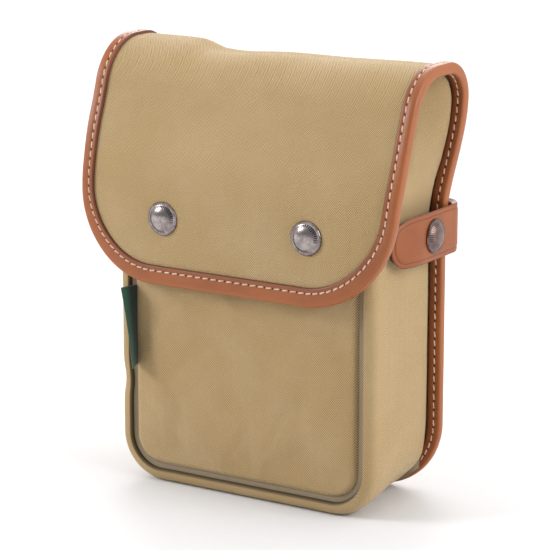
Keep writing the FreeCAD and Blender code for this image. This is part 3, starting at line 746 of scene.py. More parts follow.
@dataclass(frozen=True)
class PlainCloth:
    """Plain-weave cloth: lining, ribbon or tape."""

    name: str
    light: Colour
    dark: Colour
    yarn: float = 0.5 * MM
    relief: float = 0.08 * MM
    gloss: float = 0.7
    root_shade_span: float = 0.0

    def make(self) -> bpy.types.Material:
        """Builds the material; a ribbon can carry painted shade towards both of its ends, this far apart."""
        desk = NodeDesk(self.name)
        weave = desk.uv()
        across, along = desk.split(weave)
        warp = desk.sum("SINE", desk.sum("MULTIPLY", across, math.tau / self.yarn))
        weft = desk.sum("SINE", desk.sum("MULTIPLY", along, math.tau / self.yarn))
        cross = desk.sum("MULTIPLY_ADD", desk.sum("MULTIPLY", warp, weft), 0.5, 0.5)
        fuzz = desk.noise(weave, 1500.0, 4.0, 0.7)
        share = desk.sum("MULTIPLY_ADD", cross, 0.6, desk.sum("MULTIPLY", fuzz, 0.4), clamp=True)
        tone = desk.mix(share, self.dark, self.light)
        # Painted shade: darkens the ribbon towards both ends, where it is sewn into the seam and lies in
        # shadow.
        if self.root_shade_span:
            out = desk.sum("PINGPONG", across, self.root_shade_span / 2)
            painted_shade = desk.band(out, 0.15 * self.root_shade_span, 0.42 * self.root_shade_span, (0.85, 0.0))
            tone = desk.mix(painted_shade, tone, (0.004, 0.010, 0.008, 1.0))
        desk.colour(tone)
        desk.roughness(desk.band(fuzz, 0.3, 0.7, (self.gloss, self.gloss + 0.15)))
        desk.relief(desk.sum("MULTIPLY_ADD", fuzz, 0.3, cross), self.relief, 0.7)
        desk.set(Sheen_Weight=0.2, Specular_IOR_Level=0.3)
        return desk.material


@dataclass(frozen=True)
class TannedLeather:
    """Smooth vegetable-tanned leather with dark burnished edges.

    The piece's own coordinates give the length along it and the distance from its edge.
    """

    name: str
    face: Colour = (0.285, 0.080, 0.022, 1.0)
    warm: Colour = (0.345, 0.102, 0.026, 1.0)
    deep: Colour = (0.10, 0.024, 0.009, 1.0)
    crease_at: float = 0.0
    crease_width: float = 0.35 * MM
    edge: float = 0.5 * MM
    hole_pitch: float = 0.0
    hole_row: float = 0.0
    hole_size: float = 0.62 * MM
    # Where the painted highlight on the turned outer fold starts; 0 leaves it out.
    lit_fold_at: float = 0.0

    def make(self) -> bpy.types.Material:
        """Builds the material."""
        desk = NodeDesk(self.name)
        space = desk.space()
        along, inward = desk.split(desk.uv())
        grain = desk.cells(space, 1500.0)
        pores = desk.noise(space, 2600.0, 4.0, 0.65)
        cloud = desk.noise(space, 55.0, 4.0)
        tone = desk.mix(desk.band(cloud, 0.3, 0.7), self.face, self.warm)
        tone = desk.mix(desk.band(pores, 0.25, 0.6, (0.30, 0.0)), tone, self.deep)
        edge = desk.band(inward, self.edge * 0.4, self.edge * 1.6, (0.8, 0.0))
        tone = desk.mix(edge, tone, self.deep)
        height = desk.sum("MULTIPLY_ADD", grain, 0.35, desk.sum("MULTIPLY", pores, 0.5))
        if self.crease_at:
            away = desk.sum("ABSOLUTE", desk.sum("SUBTRACT", inward, self.crease_at))
            crease = desk.band(away, 0.1 * self.crease_width, self.crease_width, (1.0, 0.0))
            tone = desk.mix(desk.sum("MULTIPLY", crease, 0.62), tone, self.deep)
            height = desk.sum("MULTIPLY_ADD", crease, -2.6, height)
        # Painted shade: the needle holes painted near black and the groove along the stitch row painted a
        # little darker.
        if self.hole_pitch:
            nearest = desk.sum("PINGPONG", along, self.hole_pitch / 2)
            row = desk.sum("SUBTRACT", inward, self.hole_row)
            away = desk.sum("SQRT", desk.sum("ADD", desk.sum("MULTIPLY", nearest, nearest),
                                             desk.sum("MULTIPLY", row, row)))
            hole = desk.band(away, 0.45 * self.hole_size, self.hole_size, (1.0, 0.0))
            dip = desk.band(desk.sum("ABSOLUTE", row), 0.0, 1.1 * MM, (1.0, 0.0))
            tone = desk.mix(desk.sum("MULTIPLY", dip, 0.22), tone, self.deep)
            inside = desk.band(inward, self.hole_row - 1.6 * MM, self.hole_row, (0.30, 0.0))
            tone = desk.mix(inside, tone, self.deep)
            tone = desk.mix(desk.sum("MULTIPLY", hole, 0.93), tone, (0.03, 0.010, 0.006, 1.0))
            height = desk.sum("MULTIPLY_ADD", hole, -3.0, height)
        # Painted highlight: the turned outer edge lightened to warm orange, where its rounding catches the
        # light.
        if self.lit_fold_at:
            fold = desk.band(inward, self.lit_fold_at, self.lit_fold_at + 0.9 * MM, (0.0, 0.55))
            tone = desk.mix(fold, tone, (0.37, 0.115, 0.030, 1.0))
        desk.colour(tone)
        desk.roughness(desk.band(cloud, 0.25, 0.75, (0.40, 0.52)))
        desk.relief(height, 0.09 * MM, 0.55)
        desk.set(Specular_IOR_Level=0.42, Coat_Weight=0.05, Coat_Roughness=0.35)
        return desk.material


@dataclass(frozen=True)
class BurnishedEdge:
    """The cut edge of thick leather, dyed dark and rubbed."""

    name: str
    tone: Colour = (0.030, 0.016, 0.011, 1.0)
    worn: Colour = (0.085, 0.034, 0.020, 1.0)

    def make(self) -> bpy.types.Material:
        """Builds the material."""
        desk = NodeDesk(self.name)
        space = desk.space()
        fibres = desk.noise(space, 700.0, 4.0, 0.7)
        desk.colour(desk.mix(desk.band(fibres, 0.35, 0.75), self.tone, self.worn))
        desk.roughness(desk.band(fibres, 0.3, 0.7, (0.55, 0.75)))
        desk.relief(fibres, 0.08 * MM, 0.5)
        desk.set(Specular_IOR_Level=0.3)
        return desk.material


@dataclass(frozen=True)
class WaxedThread:
    """Pale waxed linen thread with a twist."""

    name: str
    light: Colour = (0.84, 0.62, 0.45, 1.0)
    dark: Colour = (0.46, 0.26, 0.15, 1.0)

    def make(self) -> bpy.types.Material:
        """Builds the material."""
        desk = NodeDesk(self.name)
        space = desk.space()
        strands = desk.noise(space, 2600.0, 3.0, 0.6)
        soil = desk.noise(space, 120.0, 2.0)
        tone = desk.mix(desk.band(strands, 0.35, 0.6), self.dark, self.light)
        desk.colour(desk.mix(desk.band(soil, 0.5, 0.75, (0.0, 0.25)), tone, self.dark))
        desk.roughness(desk.band(strands, 0.3, 0.7, (0.55, 0.75)))
        desk.relief(strands, 0.12 * MM, 0.6)
        return desk.material


@dataclass(frozen=True)
class AgedMetal:
    """Plated metal that has darkened in its recesses and rubbed bright on its high parts."""

    name: str
    bright: Colour
    dull: Colour
    rub: float = 0.34
    ticks: int = 0
    tick_row: Pair = (4.75 * MM, 6.05 * MM)

    def make(self) -> bpy.types.Material:
        """Builds the material; ticks are short radial marks round a cap, in two arcs."""
        desk = NodeDesk(self.name)
        space = desk.space()
        blotch = desk.noise(space, 300.0, 5.0, 0.65)
        scratch = desk.noise(space, 2600.0, 2.0)
        tone = desk.mix(desk.band(blotch, 0.36, 0.66, (0.35, 1.0)), self.dull, self.bright)
        height = scratch
        if self.ticks:
            turn, radius = desk.split(desk.uv())
            mark = desk.sum("PINGPONG", desk.sum("MULTIPLY", turn, float(self.ticks)), 0.5)
            low, high = self.tick_row
            ring = desk.sum("MULTIPLY", desk.band(radius, low - 0.15 * MM, low + 0.1 * MM),
                            desk.band(radius, high - 0.1 * MM, high + 0.15 * MM, (1.0, 0.0)))
            arc = desk.band(desk.sum("PINGPONG", desk.sum("ADD", turn, 0.12), 0.25), 0.07, 0.09)
            tick = desk.sum("MULTIPLY", desk.band(mark, 0.18, 0.30, (1.0, 0.0)), ring)
            tick = desk.sum("MULTIPLY", tick, arc)
            tone = desk.mix(desk.sum("MULTIPLY", tick, 0.85), tone, (0.035, 0.03, 0.035, 1.0))
            rim = desk.band(radius, high + 0.25 * MM, high + 0.6 * MM)
            tone = desk.mix(desk.sum("MULTIPLY", rim, 0.35), tone, (0.10, 0.08, 0.09, 1.0))
            height = desk.sum("MULTIPLY_ADD", tick, -4.0, scratch)
        desk.colour(tone)
        desk.roughness(desk.band(blotch, 0.3, 0.7, (self.rub + 0.10, self.rub)))
        desk.relief(height, 0.02 * MM, 0.35)
        desk.set(Metallic=1.0)
        return desk.material


@dataclass(frozen=True)
class PressedBoard:
    """Dark pressed board with short fibres in it."""

    name: str

    def make(self) -> bpy.types.Material:
        """Builds the material."""
        desk = NodeDesk(self.name)
        space = desk.space()
        fibres = desk.noise(space, 900.0, 5.0, 0.75)
        desk.colour(desk.mix(desk.band(fibres, 0.3, 0.75), (0.035, 0.031, 0.028, 1), (0.11, 0.10, 0.09, 1)))
        desk.roughness(desk.band(fibres, 0.3, 0.7, (0.6, 0.8)))
        desk.relief(fibres, 0.1 * MM, 0.5)
        return desk.material


@dataclass(frozen=True)
class SeamlessPaper:
    """The pale studio floor."""

    name: str

    def make(self) -> bpy.types.Material:
        """Builds the material."""
        desk = NodeDesk(self.name)
        tooth = desk.noise(desk.space(), 300.0, 3.0)
        desk.colour(desk.mix(tooth, (0.72, 0.72, 0.73, 1), (0.76, 0.76, 0.77, 1)))
        desk.roughness(desk.band(tooth, 0.0, 1.0, (0.85, 0.95)))
        return desk.material


KHAKI = Herringbone("khaki_herringbone", (0.645, 0.452, 0.220, 1), (0.115, 0.066, 0.018, 1))
# The gusset's canvas, with painted shade along the crease at its front seam.
CREASE_SHADED_KHAKI = Herringbone("seamed_khaki", KHAKI.light, KHAKI.dark, seam=3.2 * MM)
SAND = PlainCloth("sand_lining", (0.36, 0.29, 0.19, 1), (0.20, 0.155, 0.095, 1))
# The side label's ribbon, with painted shade towards its root in the seam.
GREEN = PlainCloth("green_ribbon", (0.048, 0.165, 0.118, 1), (0.010, 0.042, 0.030, 1), yarn=0.42 * MM,
                   relief=0.06 * MM, gloss=0.6, root_shade_span=17.0 * MM)
# The bindings: painted shade in their needle holes and stitch groove, and a painted highlight along their
# turned fold.
BACK_BINDING = TannedLeather("back_binding_tan", hole_pitch=4.0 * MM, hole_row=3.3 * MM, lit_fold_at=5.3 * MM)
FLAP_BINDING = TannedLeather("flap_binding_tan", hole_pitch=4.0 * MM, hole_row=2.3 * MM, lit_fold_at=4.3 * MM)
TAB_FACE = TannedLeather("tab_tan", (0.262, 0.066, 0.013, 1), (0.320, 0.086, 0.016, 1), crease_at=2.1 * MM,
                         edge=0.45 * MM)
TAB_EDGE = BurnishedEdge("tab_edge")
LINEN = WaxedThread("linen_thread")
NICKEL = AgedMetal("antique_nickel", (0.40, 0.35, 0.34, 1), (0.12, 0.095, 0.09, 1), 0.18, 38)
# Painted shade: a darker copy of the nickel for the tab domes, standing in for the darker surroundings they
# reflect.
SHADED_NICKEL = AgedMetal("worn_nickel", (0.23, 0.155, 0.135, 1), (0.12, 0.082, 0.072, 1), 0.24, 38)
BRASS = AgedMetal("plated_brass", (0.66, 0.58, 0.44, 1), (0.30, 0.25, 0.18, 1), 0.28)


@dataclass
class Wardrobe:
    """Every material, made once."""

    made: dict[str, bpy.types.Material] = field(default_factory=dict)

    def of(self, finish: object) -> bpy.types.Material:
        """The material of a finish."""
        if finish.name not in self.made:
            self.made[finish.name] = finish.make()
        return self.made[finish.name]

    def dress(self, piece: bpy.types.Object, slot: Slot, *finishes: object) -> None:
        """Gives a piece its finishes."""
        piece.data.materials.clear()
        for finish in finishes:
            piece.data.materials.append(self.of(finish))

    def repaint(self, node: str, finish: object) -> None:
        """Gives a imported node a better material."""
        mesh = frame["nodes"][node].data
        if not mesh.materials:
            mesh.materials.append(None)
        for i in range(len(mesh.materials)):
            mesh.materials[i] = self.of(finish)


# ------------------------------------------------------------------------ assemblies


@dataclass
class Assembly:
    """Shared tools of the sub-assemblies.

    Attributes:
        pattern: Sizes and surfaces of the pouch.
        wardrobe: Materials.
        made: Every piece built so far, in order.
    """

    pattern: Pattern
    wardrobe: Wardrobe
    made: list[bpy.types.Object] = field(default_factory=list)

    def keep(self, piece: bpy.types.Object) -> bpy.types.Object:
        """Notes and reports a finished piece."""
        self.made.append(piece)
        size = piece.dimensions * 1000
        LOG.info("%s: %.0f x %.0f x %.0f mm, %d faces", piece.name, *size, len(piece.data.polygons))
        return piece

    def over_back_fold(self, piece: bpy.types.Object) -> None:
        """Bakes a piece's transform into its mesh, without bending it over the fold at the top of the back.
        """
        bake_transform(piece)

    def over_front_fold(self, piece: bpy.types.Object) -> None:
        """Bakes a piece's transform into its mesh, without bending it over the fold at the flap's shoulder.
        """
        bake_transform(piece)


@dataclass
class Covers(Assembly):
    """The one-piece back and flap: its outer canvas and its linings."""

    allowance: float = 1.6 * MM
    lining: float = 0.7 * MM

    def leaf(self, name: str, start: float, end: float, depth: Callable[[float, float], float],
             inner: bool) -> bpy.types.Object:
        """Lays one leaf of cloth on the back or flap.

        Args:
            name: Name of the piece.
            start: Length along the pattern where it starts.
            end: Length along the pattern where it ends.
            depth: Distance inside the canvas face at a place across and along.
            inner: True where the cloth faces inwards.

        Returns:
            The open sheet.
        """
        pattern = self.pattern
        rows = round(abs(end - start) / (1.5 * MM))

        def across(u: float, v: float) -> Pair:
            s = start + (end - start) * v
            side = 2 * u - 1
            return side * (pattern.half_width(s, side) - self.allowance), s

        def place(u: float, v: float) -> Vector:
            x, s = across(u, v)
            return pattern.cloth(x, s, -depth(x, s))

        return cloth_grid(name, 96, rows, place, across, flip=not inner)

    def back_depth(self, x: float, s: float) -> float:
        """Depth of the back's lining: padded inside the pouch, thin in the wings and on top."""
        pattern = self.pattern
        inside = 1 - smooth(abs(x), pattern.body_half - 8 * MM, pattern.body_half - 3 * MM)
        below = 1 - smooth(s, 0.155, 0.168)
        wing = pattern.canvas + pattern.canvas * smooth(s, 0.12, 0.135)
        return wing + (pattern.canvas + pattern.flap_stack + 1.4 * MM - wing) * inside * below

    def build(self) -> None:
        """Builds the four leaves."""
        pattern, gap = self.pattern, self.allowance
        back = self.leaf("back_cover", gap, pattern.middle, lambda x, s: 0.0, False)
        thicken(back, pattern.canvas)
        self.finish(back, KHAKI, Slot.CANVAS, ("back_panel", "flap_top_canvas"))
        self.over_back_fold(back)
        flap = self.leaf("flap_cover", pattern.middle, pattern.length - gap, lambda x, s: 0.0, False)
        thicken(flap, pattern.canvas)
        self.finish(flap, KHAKI, Slot.CANVAS, ("flap_front_canvas",))
        self.over_front_fold(flap)
        back_lining = self.leaf("back_lining_cloth", gap, pattern.middle, self.back_depth, True)
        thicken(back_lining, self.lining)
        self.finish(back_lining, SAND, Slot.LINING,
                    ("back_foam", "back_lining", "flap_top_lining", "flap_top_stiffener"))
        self.over_back_fold(back_lining)
        flap_lining = self.leaf("flap_lining_cloth", pattern.middle, pattern.length - gap,
                                lambda x, s: pattern.flap_stack, True)
        thicken(flap_lining, self.lining)
        self.finish(flap_lining, SAND, Slot.LINING, ("flap_front_lining", "flap_front_stiffener"))
        self.over_front_fold(flap_lining)

    def finish(self, piece: bpy.types.Object, finish: object, slot: Slot,
               replaced: Sequence[str]) -> None:
        """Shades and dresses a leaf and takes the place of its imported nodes."""
        shade(piece, 60.0)
        self.wardrobe.dress(piece, slot, finish)
        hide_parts(*replaced)
        self.keep(piece)


@dataclass
class Bindings(Assembly):
    """Leather folded over the cut edges of the back and flap, and saddle-stitched."""

    thread: Thread = field(default_factory=Thread)
    groove: float = 0.32 * MM
    valley: float = 0.72 * MM
    wider: float = 2.1 * MM
    squeezed: float = 3.2 * MM

    def width(self, s: float, upper: bool) -> float:
        """Width of a binding at a length along the pattern; the flap's is wider along its lower edge."""
        length = self.pattern.length
        return self.pattern.binding_width + upper * self.wider * smooth(s, length - 45 * MM, length - 2 * MM)

    def finish_of(self, upper: bool) -> TannedLeather:
        """The finish of the flap's binding, or of the back's; it places the row of stitches."""
        return FLAP_BINDING if upper else BACK_BINDING

    def section(self, depth: float, pinch: float, width: float, row: float) -> list[tuple[float, float]]:
        """Cross-section of the binding.

        Args:
            depth: Total depth of the edge it covers.
            pinch: How hard the nearest stitch pulls, from 0 to 1.
            width: Width of the binding.
            row: Distance of the stitches from the outer edge.

        Returns:
            Distance from the outer edge and height over the canvas face, in metres.
        """
        lip = self.pattern.leather
        dip = self.groove * (0.55 + 0.45 * pinch)
        top = [(width, 0.0), (width - 0.03 * MM, 0.55 * lip), (width - 0.26 * MM, 0.86 * lip),
               (width - 0.80 * MM, lip), (row + self.valley, 0.98 * lip), (row, lip - dip),
               (row - self.valley, 0.98 * lip), (row / 2 + 0.5 * MM, 1.03 * lip), (1.75 * MM, 1.06 * lip)]
        middle, half = -depth / 2, (depth + 2 * lip) / 2
        turn = []
        for i in range(9):
            angle = math.pi * (0.5 - (i + 0.5) / 9)
            reach = 1.35 * MM * (1 - abs(math.cos(angle)) ** 0.8)
            turn.append((reach, middle + half * math.copysign(abs(math.sin(angle)) ** 0.62, angle)))
        low = -depth - lip
        under = [(1.75 * MM, low), (row - self.valley, low + 0.05 * MM), (row, low + dip),
                 (row + self.valley, low + 0.05 * MM), (width - 0.80 * MM, low),
                 (width - 0.4 * MM, low + 0.2 * MM), (width, low + 0.6 * MM), (width, -depth)]
        return top + turn + under

    def across(self, distance: float, width: float, seam: float) -> float:
        """Own coordinate across the binding: true from its inner edge past the stitches, then squeezed.

        Args:
            distance: Distance from the outer edge.
            width: Width of the binding there.
            seam: Distance of the stitches from the inner edge.

        Returns:
            The coordinate in metres; the outer edge always lies the same way past the stitches.
        """
        past = width - seam - distance
        near = 1.0 * MM
        if past > near:
            past = near + (past - near) * (self.squeezed - near) / (width - seam - near)
        return seam + past

    def build_edge(self, name: str, upper: bool) -> bpy.types.Object:
        """Sweeps the binding round the flap's edge or the back's.

        Args:
            name: Name of the piece.
            upper: True for the flap's edge, False for the back's.

        Returns:
            The closed piece, its coordinates the length along and the distance from the cut edge.
        """
        pattern = self.pattern
        line = pattern.edge_line(upper)
        seam = self.finish_of(upper).hole_row
        points: list[Vector] = []
        coordinates: list[Pair] = []
        travelled = 0.0
        for i, (point, inward) in enumerate(line):
            if i:
                travelled += (point - line[i - 1][0]).length
            pinch = 0.5 + 0.5 * math.cos(math.tau * travelled / self.thread.pitch)
            width = self.width(point.y, upper)
            section = self.section(self.depth(point.y), pinch, width, width - seam)
            for d, h in section:
                spot = point + inward * d
                points.append(pattern.cloth(spot.x, spot.y, h))
                coordinates.append((travelled, self.across(d, width, seam)))
        count = len(section)
        faces = [(i * count + k, i * count + (k + 1) % count,
                  (i + 1) * count + (k + 1) % count, (i + 1) * count + k)
                 for i in range(len(line) - 1) for k in range(count)]
        faces += [tuple(range(count)), tuple(range(len(points) - count, len(points)))]
        piece = mesh_piece(name, points, faces)
        layer = piece.data.uv_layers.new(name=WEAVE)
        for loop in piece.data.loops:
            layer.data[loop.index].uv = coordinates[loop.vertex_index]
        face_outwards(piece)
        shade(piece, 50.0)
        return piece

    def depth(self, s: float) -> float:
        """Thickness of the cloth inside the binding at a length along the pattern."""
        thin, thick = self.pattern.canvas, self.pattern.flap_stack
        return thin + (thick - thin) * smooth(s, 0.12, 0.135)

    def stitches(self, name: str, upper: bool, inner: bool) -> bpy.types.Object:
        """Sews a row of stitches along one face of a binding."""
        pattern = self.pattern
        lift = self.pattern.leather - self.groove * 0.55
        edge = pattern.edge_line(upper)
        seam = self.finish_of(upper).hole_row
        line = []
        for point, inward in edge:
            spot = point + inward * (self.width(point.y, upper) - seam)
            out = pattern.outward(spot.y)
            height = -self.depth(spot.y) - lift if inner else lift
            line.append((pattern.cloth(spot.x, spot.y, height), -out if inner else out))
        marks = run_lengths([point for point, _ in edge])
        return self.thread.row(name, self.thread.along(line, marks))

    def build(self) -> None:
        """Builds both bindings and their stitches."""
        self.build_leg("back_binding_leather", False,
                       ("back_binding", "flap_top_binding_left", "flap_top_binding_right"))
        self.build_leg("flap_binding_leather", True, ("flap_front_binding",))

    def build_leg(self, name: str, upper: bool, replaced: Sequence[str]) -> None:
        """Builds one binding with its two rows of stitches."""
        binding = self.build_edge(name, upper)
        self.wardrobe.dress(binding, Slot.BINDING, self.finish_of(upper))
        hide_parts(*replaced)
        rows = [self.stitches(f"{name}_stitches_{face}", upper, face == "inner")
                for face in ("outer", "inner")]
        for piece in rows:
            self.wardrobe.dress(piece, Slot.BINDING, LINEN)
        for piece in [binding, *rows]:
            if upper:
                self.over_front_fold(piece)
            else:
                self.over_back_fold(piece)
            self.keep(piece)


@dataclass
class PaddedBody(Assembly):
    """The padded pouch under the flap: front cushion, gusset with its ears, lining and fittings."""

    roll: float = 8.0 * MM
    wall: float = 4.4 * MM
    clear: float = 4.6 * MM
    seam_depth: float = 4.2 * MM
    set_back: float = 1.8 * MM
    worn_corner: float = 4.2 * MM
    hem_depth: float = 1.8 * MM
    crown: float = 2.3 * MM
    fullness: float = 0.64
    crowding: float = 1.4

    def __post_init__(self) -> None:
        """Samples where the flap's canvas lies over each height."""
        profile = self.pattern.profile
        steps = [profile.at(self.pattern.length * i / 600)[0] for i in range(601)]
        self.over = [(p.x, p.y) for p in steps]
        self.roof = self.pattern.top - self.clear - 0.9 * MM

    def reach_at(self, z: float) -> Pair:
        """Front and back limits of an ear at a height, clear of the flap's underside."""
        y_all = [y for y, high in self.over if high > z + self.clear * 0.6]
        low = min(y_all) + self.clear + 3.0 * MM * smooth(z, 0.150, 0.178)
        high = max(y_all) - self.clear
        return low, min(high, self.pattern.gusset_end)

    def wall_line(self) -> list[tuple[Vector, Vector]]:
        """Outline of the gusset from one ear's top down and round to the other's."""
        pattern = self.pattern
        half = pattern.body_half
        corners = [(-half, self.roof, 0.0), (-half, 0.0, pattern.body_corner),
                   (half, 0.0, pattern.body_corner), (half, self.roof, 0.0)]
        outline = RoundedLine(corners)
        count = round(outline.length / (1.6 * MM))
        result = []
        for i in range(count + 1):
            place, heading = outline.at(outline.length * i / count)
            result.append((place, Vector((-heading.y, heading.x))))
        return result

    def rolled(self, v: float) -> Pair:
        """Inset and Y of the gusset's cross-section, from the front seam to the back edge."""
        pattern = self.pattern
        arc = self.roll * math.pi / 2
        start = 1.0 * MM
        length = start + arc + pattern.gusset_end - (pattern.front + self.roll)
        s = v * length
        if s < start:
            inset, y = self.roll + start - s, pattern.front
        elif s < start + arc:
            turn = (s - start) / self.roll
            inset = self.roll * (1 - math.sin(turn) ** self.fullness)
            y = pattern.front + self.roll * (1 - math.cos(turn) ** self.fullness)
            y -= 0.5 * MM * math.sin(2 * turn)
        else:
            inset, y = 0.0, pattern.front + self.roll + s - start - arc
        tuck = 1 - smooth(s, 1.1 * MM, 2.6 * MM)
        return inset, y + self.seam_depth * tuck

    def shell(self, place: Vector, inward: Vector, v: float, depth: float) -> Vector:
        """A place on the gusset.

        Args:
            place: Place on the outline as (x, z).
            inward: Direction into the pouch in the same plane.
            v: Share from the front seam to the back edge.
            depth: Distance inside the outer face.

        Returns:
            The place in the frame.
        """
        pattern = self.pattern
        ear = smooth(place.y, pattern.mouth - 4 * MM, pattern.mouth + 10 * MM)
        inset, y = self.rolled(v)
        low, high = self.reach_at(max(place.y, pattern.mouth - 6 * MM))
        wing = pattern.half_width(min(place.y, 0.176)) - pattern.binding_width + 0.9 * MM
        flare = max(wing - pattern.body_half, 0.0) * smooth(v, 0.42, 1.0) ** 1.2
        crease = pattern.mouth + (0.62 - v) * 60 * MM
        sway = ear * (3.2 * MM * bump(v, 0.44, 0.09) * bump(place.y, pattern.mouth + 24 * MM, 26 * MM)
                      + 1.3 * MM * bump(place.y, crease, 5 * MM) * bump(v, 0.55, 0.2)
                      + 1.3 * MM * bump(v, 0.52, 0.035)
                      * bump(place.y, pattern.mouth + 20 * MM, 24 * MM))
        hem = self.hem_depth * smooth(v, 0.93, 1.0) * (1 - ear)
        shift = ARC_MIDDLE * pattern.body_corner
        away = math.hypot(abs(place.x) - pattern.body_half + shift, place.y - shift)
        worn = self.worn_corner * bump(away, 0.0, 15 * MM) * smooth(v, 0.15, 0.85)
        dent = 1.3 * MM * bump(place.y, 0.045, 6 * MM) * bump(v, 0.13, 0.1) * (place.x < 0)
        soft = 0.32 * MM * ripple(place.x + place.y * 1.3, y, 21 * MM, 7.0)
        belly = -0.35 * MM * math.sin(math.pi * v)
        thin = depth * (1 - 0.62 * ear)
        inset = inset * (1 - ear) + sway + hem - flare + worn + dent + soft * (0.3 + ear) + belly + thin
        y = y * (1 - ear) + (low + (high - low) * v) * ear
        if depth and v < 0.2:
            y += depth * (1 - v / 0.2) * (1 - ear)
        flat = place + inward * inset
        return Vector((flat.x, y, max(flat.y, 0.0 if not depth else depth * 0.8)))

    def tube(self, name: str, depth: float, rows: int) -> bpy.types.Object:
        """Lays the gusset, or its lining, as one strip round the pouch."""
        line = self.wall_line()
        marks = run_lengths([place for place, _ in line])
        across = self.rolled_length()

        def spot(u: float) -> tuple[Vector, Vector]:
            return line[min(round(u * (len(line) - 1)), len(line) - 1)]

        def place(u: float, v: float) -> Vector:
            return self.shell(*spot(u), v, depth)

        def closer(v: float) -> float:
            return v ** self.crowding

        return cloth_grid(name, len(line) - 1, rows, lambda u, v: place(u, closer(v)),
                          lambda u, v: (closer(v) * across, u * marks[-1]), flip=not depth)

    def rolled_length(self) -> float:
        """Width of the gusset strip."""
        flat = self.pattern.gusset_end - self.pattern.front - self.roll
        return flat + self.roll * math.pi / 2 + 1.0 * MM

    def build_gusset(self) -> None:
        """Builds the canvas gusset and its lining, padded between."""
        gusset = self.tube("gusset_cover", 0.0, 44)
        thicken(gusset, self.pattern.canvas)
        shade(gusset, 60.0)
        self.wardrobe.dress(gusset, Slot.CANVAS, CREASE_SHADED_KHAKI)
        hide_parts("gusset", "gusset_foam")
        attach(gusset, Body.POUCH.value)
        self.keep(gusset)
        lining = self.tube("gusset_lining_cloth", self.wall, 30)
        thicken(lining, 0.7 * MM)
        shade(lining, 60.0)
        self.wardrobe.dress(lining, Slot.LINING, SAND)
        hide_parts("gusset_lining")
        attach(lining, Body.POUCH.value)
        self.keep(lining)
        line = self.wall_line()
        run_lengths([p for p, _ in line])[-1]

    def build_front(self) -> None:
        """Builds the stuffed front panel with a cloth simulation, its edges held in the seam."""
        pattern = self.pattern
        half, low, high = pattern.seam_half + 0.1 * MM, pattern.seam_low - 0.1 * MM, pattern.mouth
        thick = 4.0 * MM
        radius = pattern.body_corner - self.roll

        def outline(z: float) -> float:
            short = radius - (z - low)
            return half - (radius - math.sqrt(max(radius * radius - short * short, 0.0)) if short > 0 else 0)

        def place(u: float, v: float) -> Vector:
            z = low + (high - low) * v
            return Vector(((2 * u - 1) * outline(z), pattern.front + self.set_back, z))

        pad = cloth_grid("front_cushion", 46, 54, place, lambda u, v: (u, v))
        if pad.data.polygons[0].normal.y > 0:
            pad.data.flip_normals()
        thicken(pad, thick)
        remesh = pad.modifiers.new("even", "REMESH")
        remesh.mode = "VOXEL"
        remesh.voxel_size = 1.6 * MM
        apply_modifiers(pad)
        self.inflate(pad, outline, low, high)
        smooth_out = pad.modifiers.new("fine", "SUBSURF")
        smooth_out.levels = smooth_out.render_levels = 1
        apply_modifiers(pad)
        layer = pad.data.uv_layers.new(name=WEAVE)
        for loop in pad.data.loops:
            co = pad.data.vertices[loop.vertex_index].co
            layer.data[loop.index].uv = (co.x, co.z)
        shade(pad, 80.0)
        self.wardrobe.dress(pad, Slot.CANVAS, KHAKI)
        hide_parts("front_panel", "front_foam")
        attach(pad, Body.POUCH.value)
        self.keep(pad)

    def inflate(self, pad: bpy.types.Object, outline: Callable[[float], float], low: float,
                high: float) -> None:
        """Blows the cushion up gently with its seam held, then limits how far it rose."""
        rest = [v.co.copy() for v in pad.data.vertices]
        held = pad.vertex_groups.new(name="seam")
        for vertex in pad.data.vertices:
            edge = min(outline(vertex.co.z) - abs(vertex.co.x), vertex.co.z - low, high - vertex.co.z)
            behind = vertex.co.y > self.pattern.front + self.set_back + 2.6 * MM
            if edge < 2.4 * MM or behind:
                held.add([vertex.index], 1.0, "REPLACE")
        cloth = pad.modifiers.new("cloth", "CLOTH")
        cloth.settings.use_pressure = True
        cloth.settings.uniform_pressure_force = 4.0
        cloth.settings.vertex_group_mass = held.name
        cloth.settings.shrink_min = -0.03
        cloth.settings.effector_weights.gravity = 0.0
        cloth.settings.quality = 6
        scene = bpy.context.scene
        for number in range(1, 21):
            scene.frame_set(number)
        apply_modifiers(pad)
        scene.frame_set(1)
        moved = [v.co - r for v, r in zip(pad.data.vertices, rest)]
        most = max(max(-m.y for m in moved), 1e-6)
        rise = self.crown + self.set_back
        for vertex, start, move in zip(pad.data.vertices, rest, moved):
            share = max(-move.y, 0.0) / most
            side = min(outline(start.z) - abs(start.x), start.z - low, high - start.z)
            front = smooth(-(start.y - self.pattern.front - self.set_back), -2.2 * MM, -0.2 * MM)
            quick_rise = math.sqrt(min(max(side, 0.0) / (2.6 * MM), 1.0))
            pillow = quick_rise * (0.78 + 0.22 * smooth(side, 6 * MM, 50 * MM))
            lift = rise * front * (0.55 * pillow + 0.45 * min(share * 1.4, 1.0) * smooth(side, 0, 4 * MM))
            lift += front * 0.30 * MM * ripple(start.x, start.z, 30 * MM, 1.0) * pillow
            vertex.co = start + Vector((0, -lift, 0))

    def flat_cloth(self, name: str, corner: Vector, width: float, height: float, finish: object,
                   replaced: str, sag: float = 0.0, inner: bool = True, thick: float = 0.8 * MM) -> None:
        """Lays a flat cloth across the pouch at one Y.

        Args:
            name: Name of the piece.
            corner: Its lower left corner on its visible face.
            width: Width in metres.
            height: Height in metres.
            finish: Its finish.
            replaced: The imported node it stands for.
            sag: How far its upper edge hangs loose.
            inner: True where it faces backwards, towards +Y.
            thick: Thickness of the cloth.
        """
        sign = 1.0 if inner else -1.0

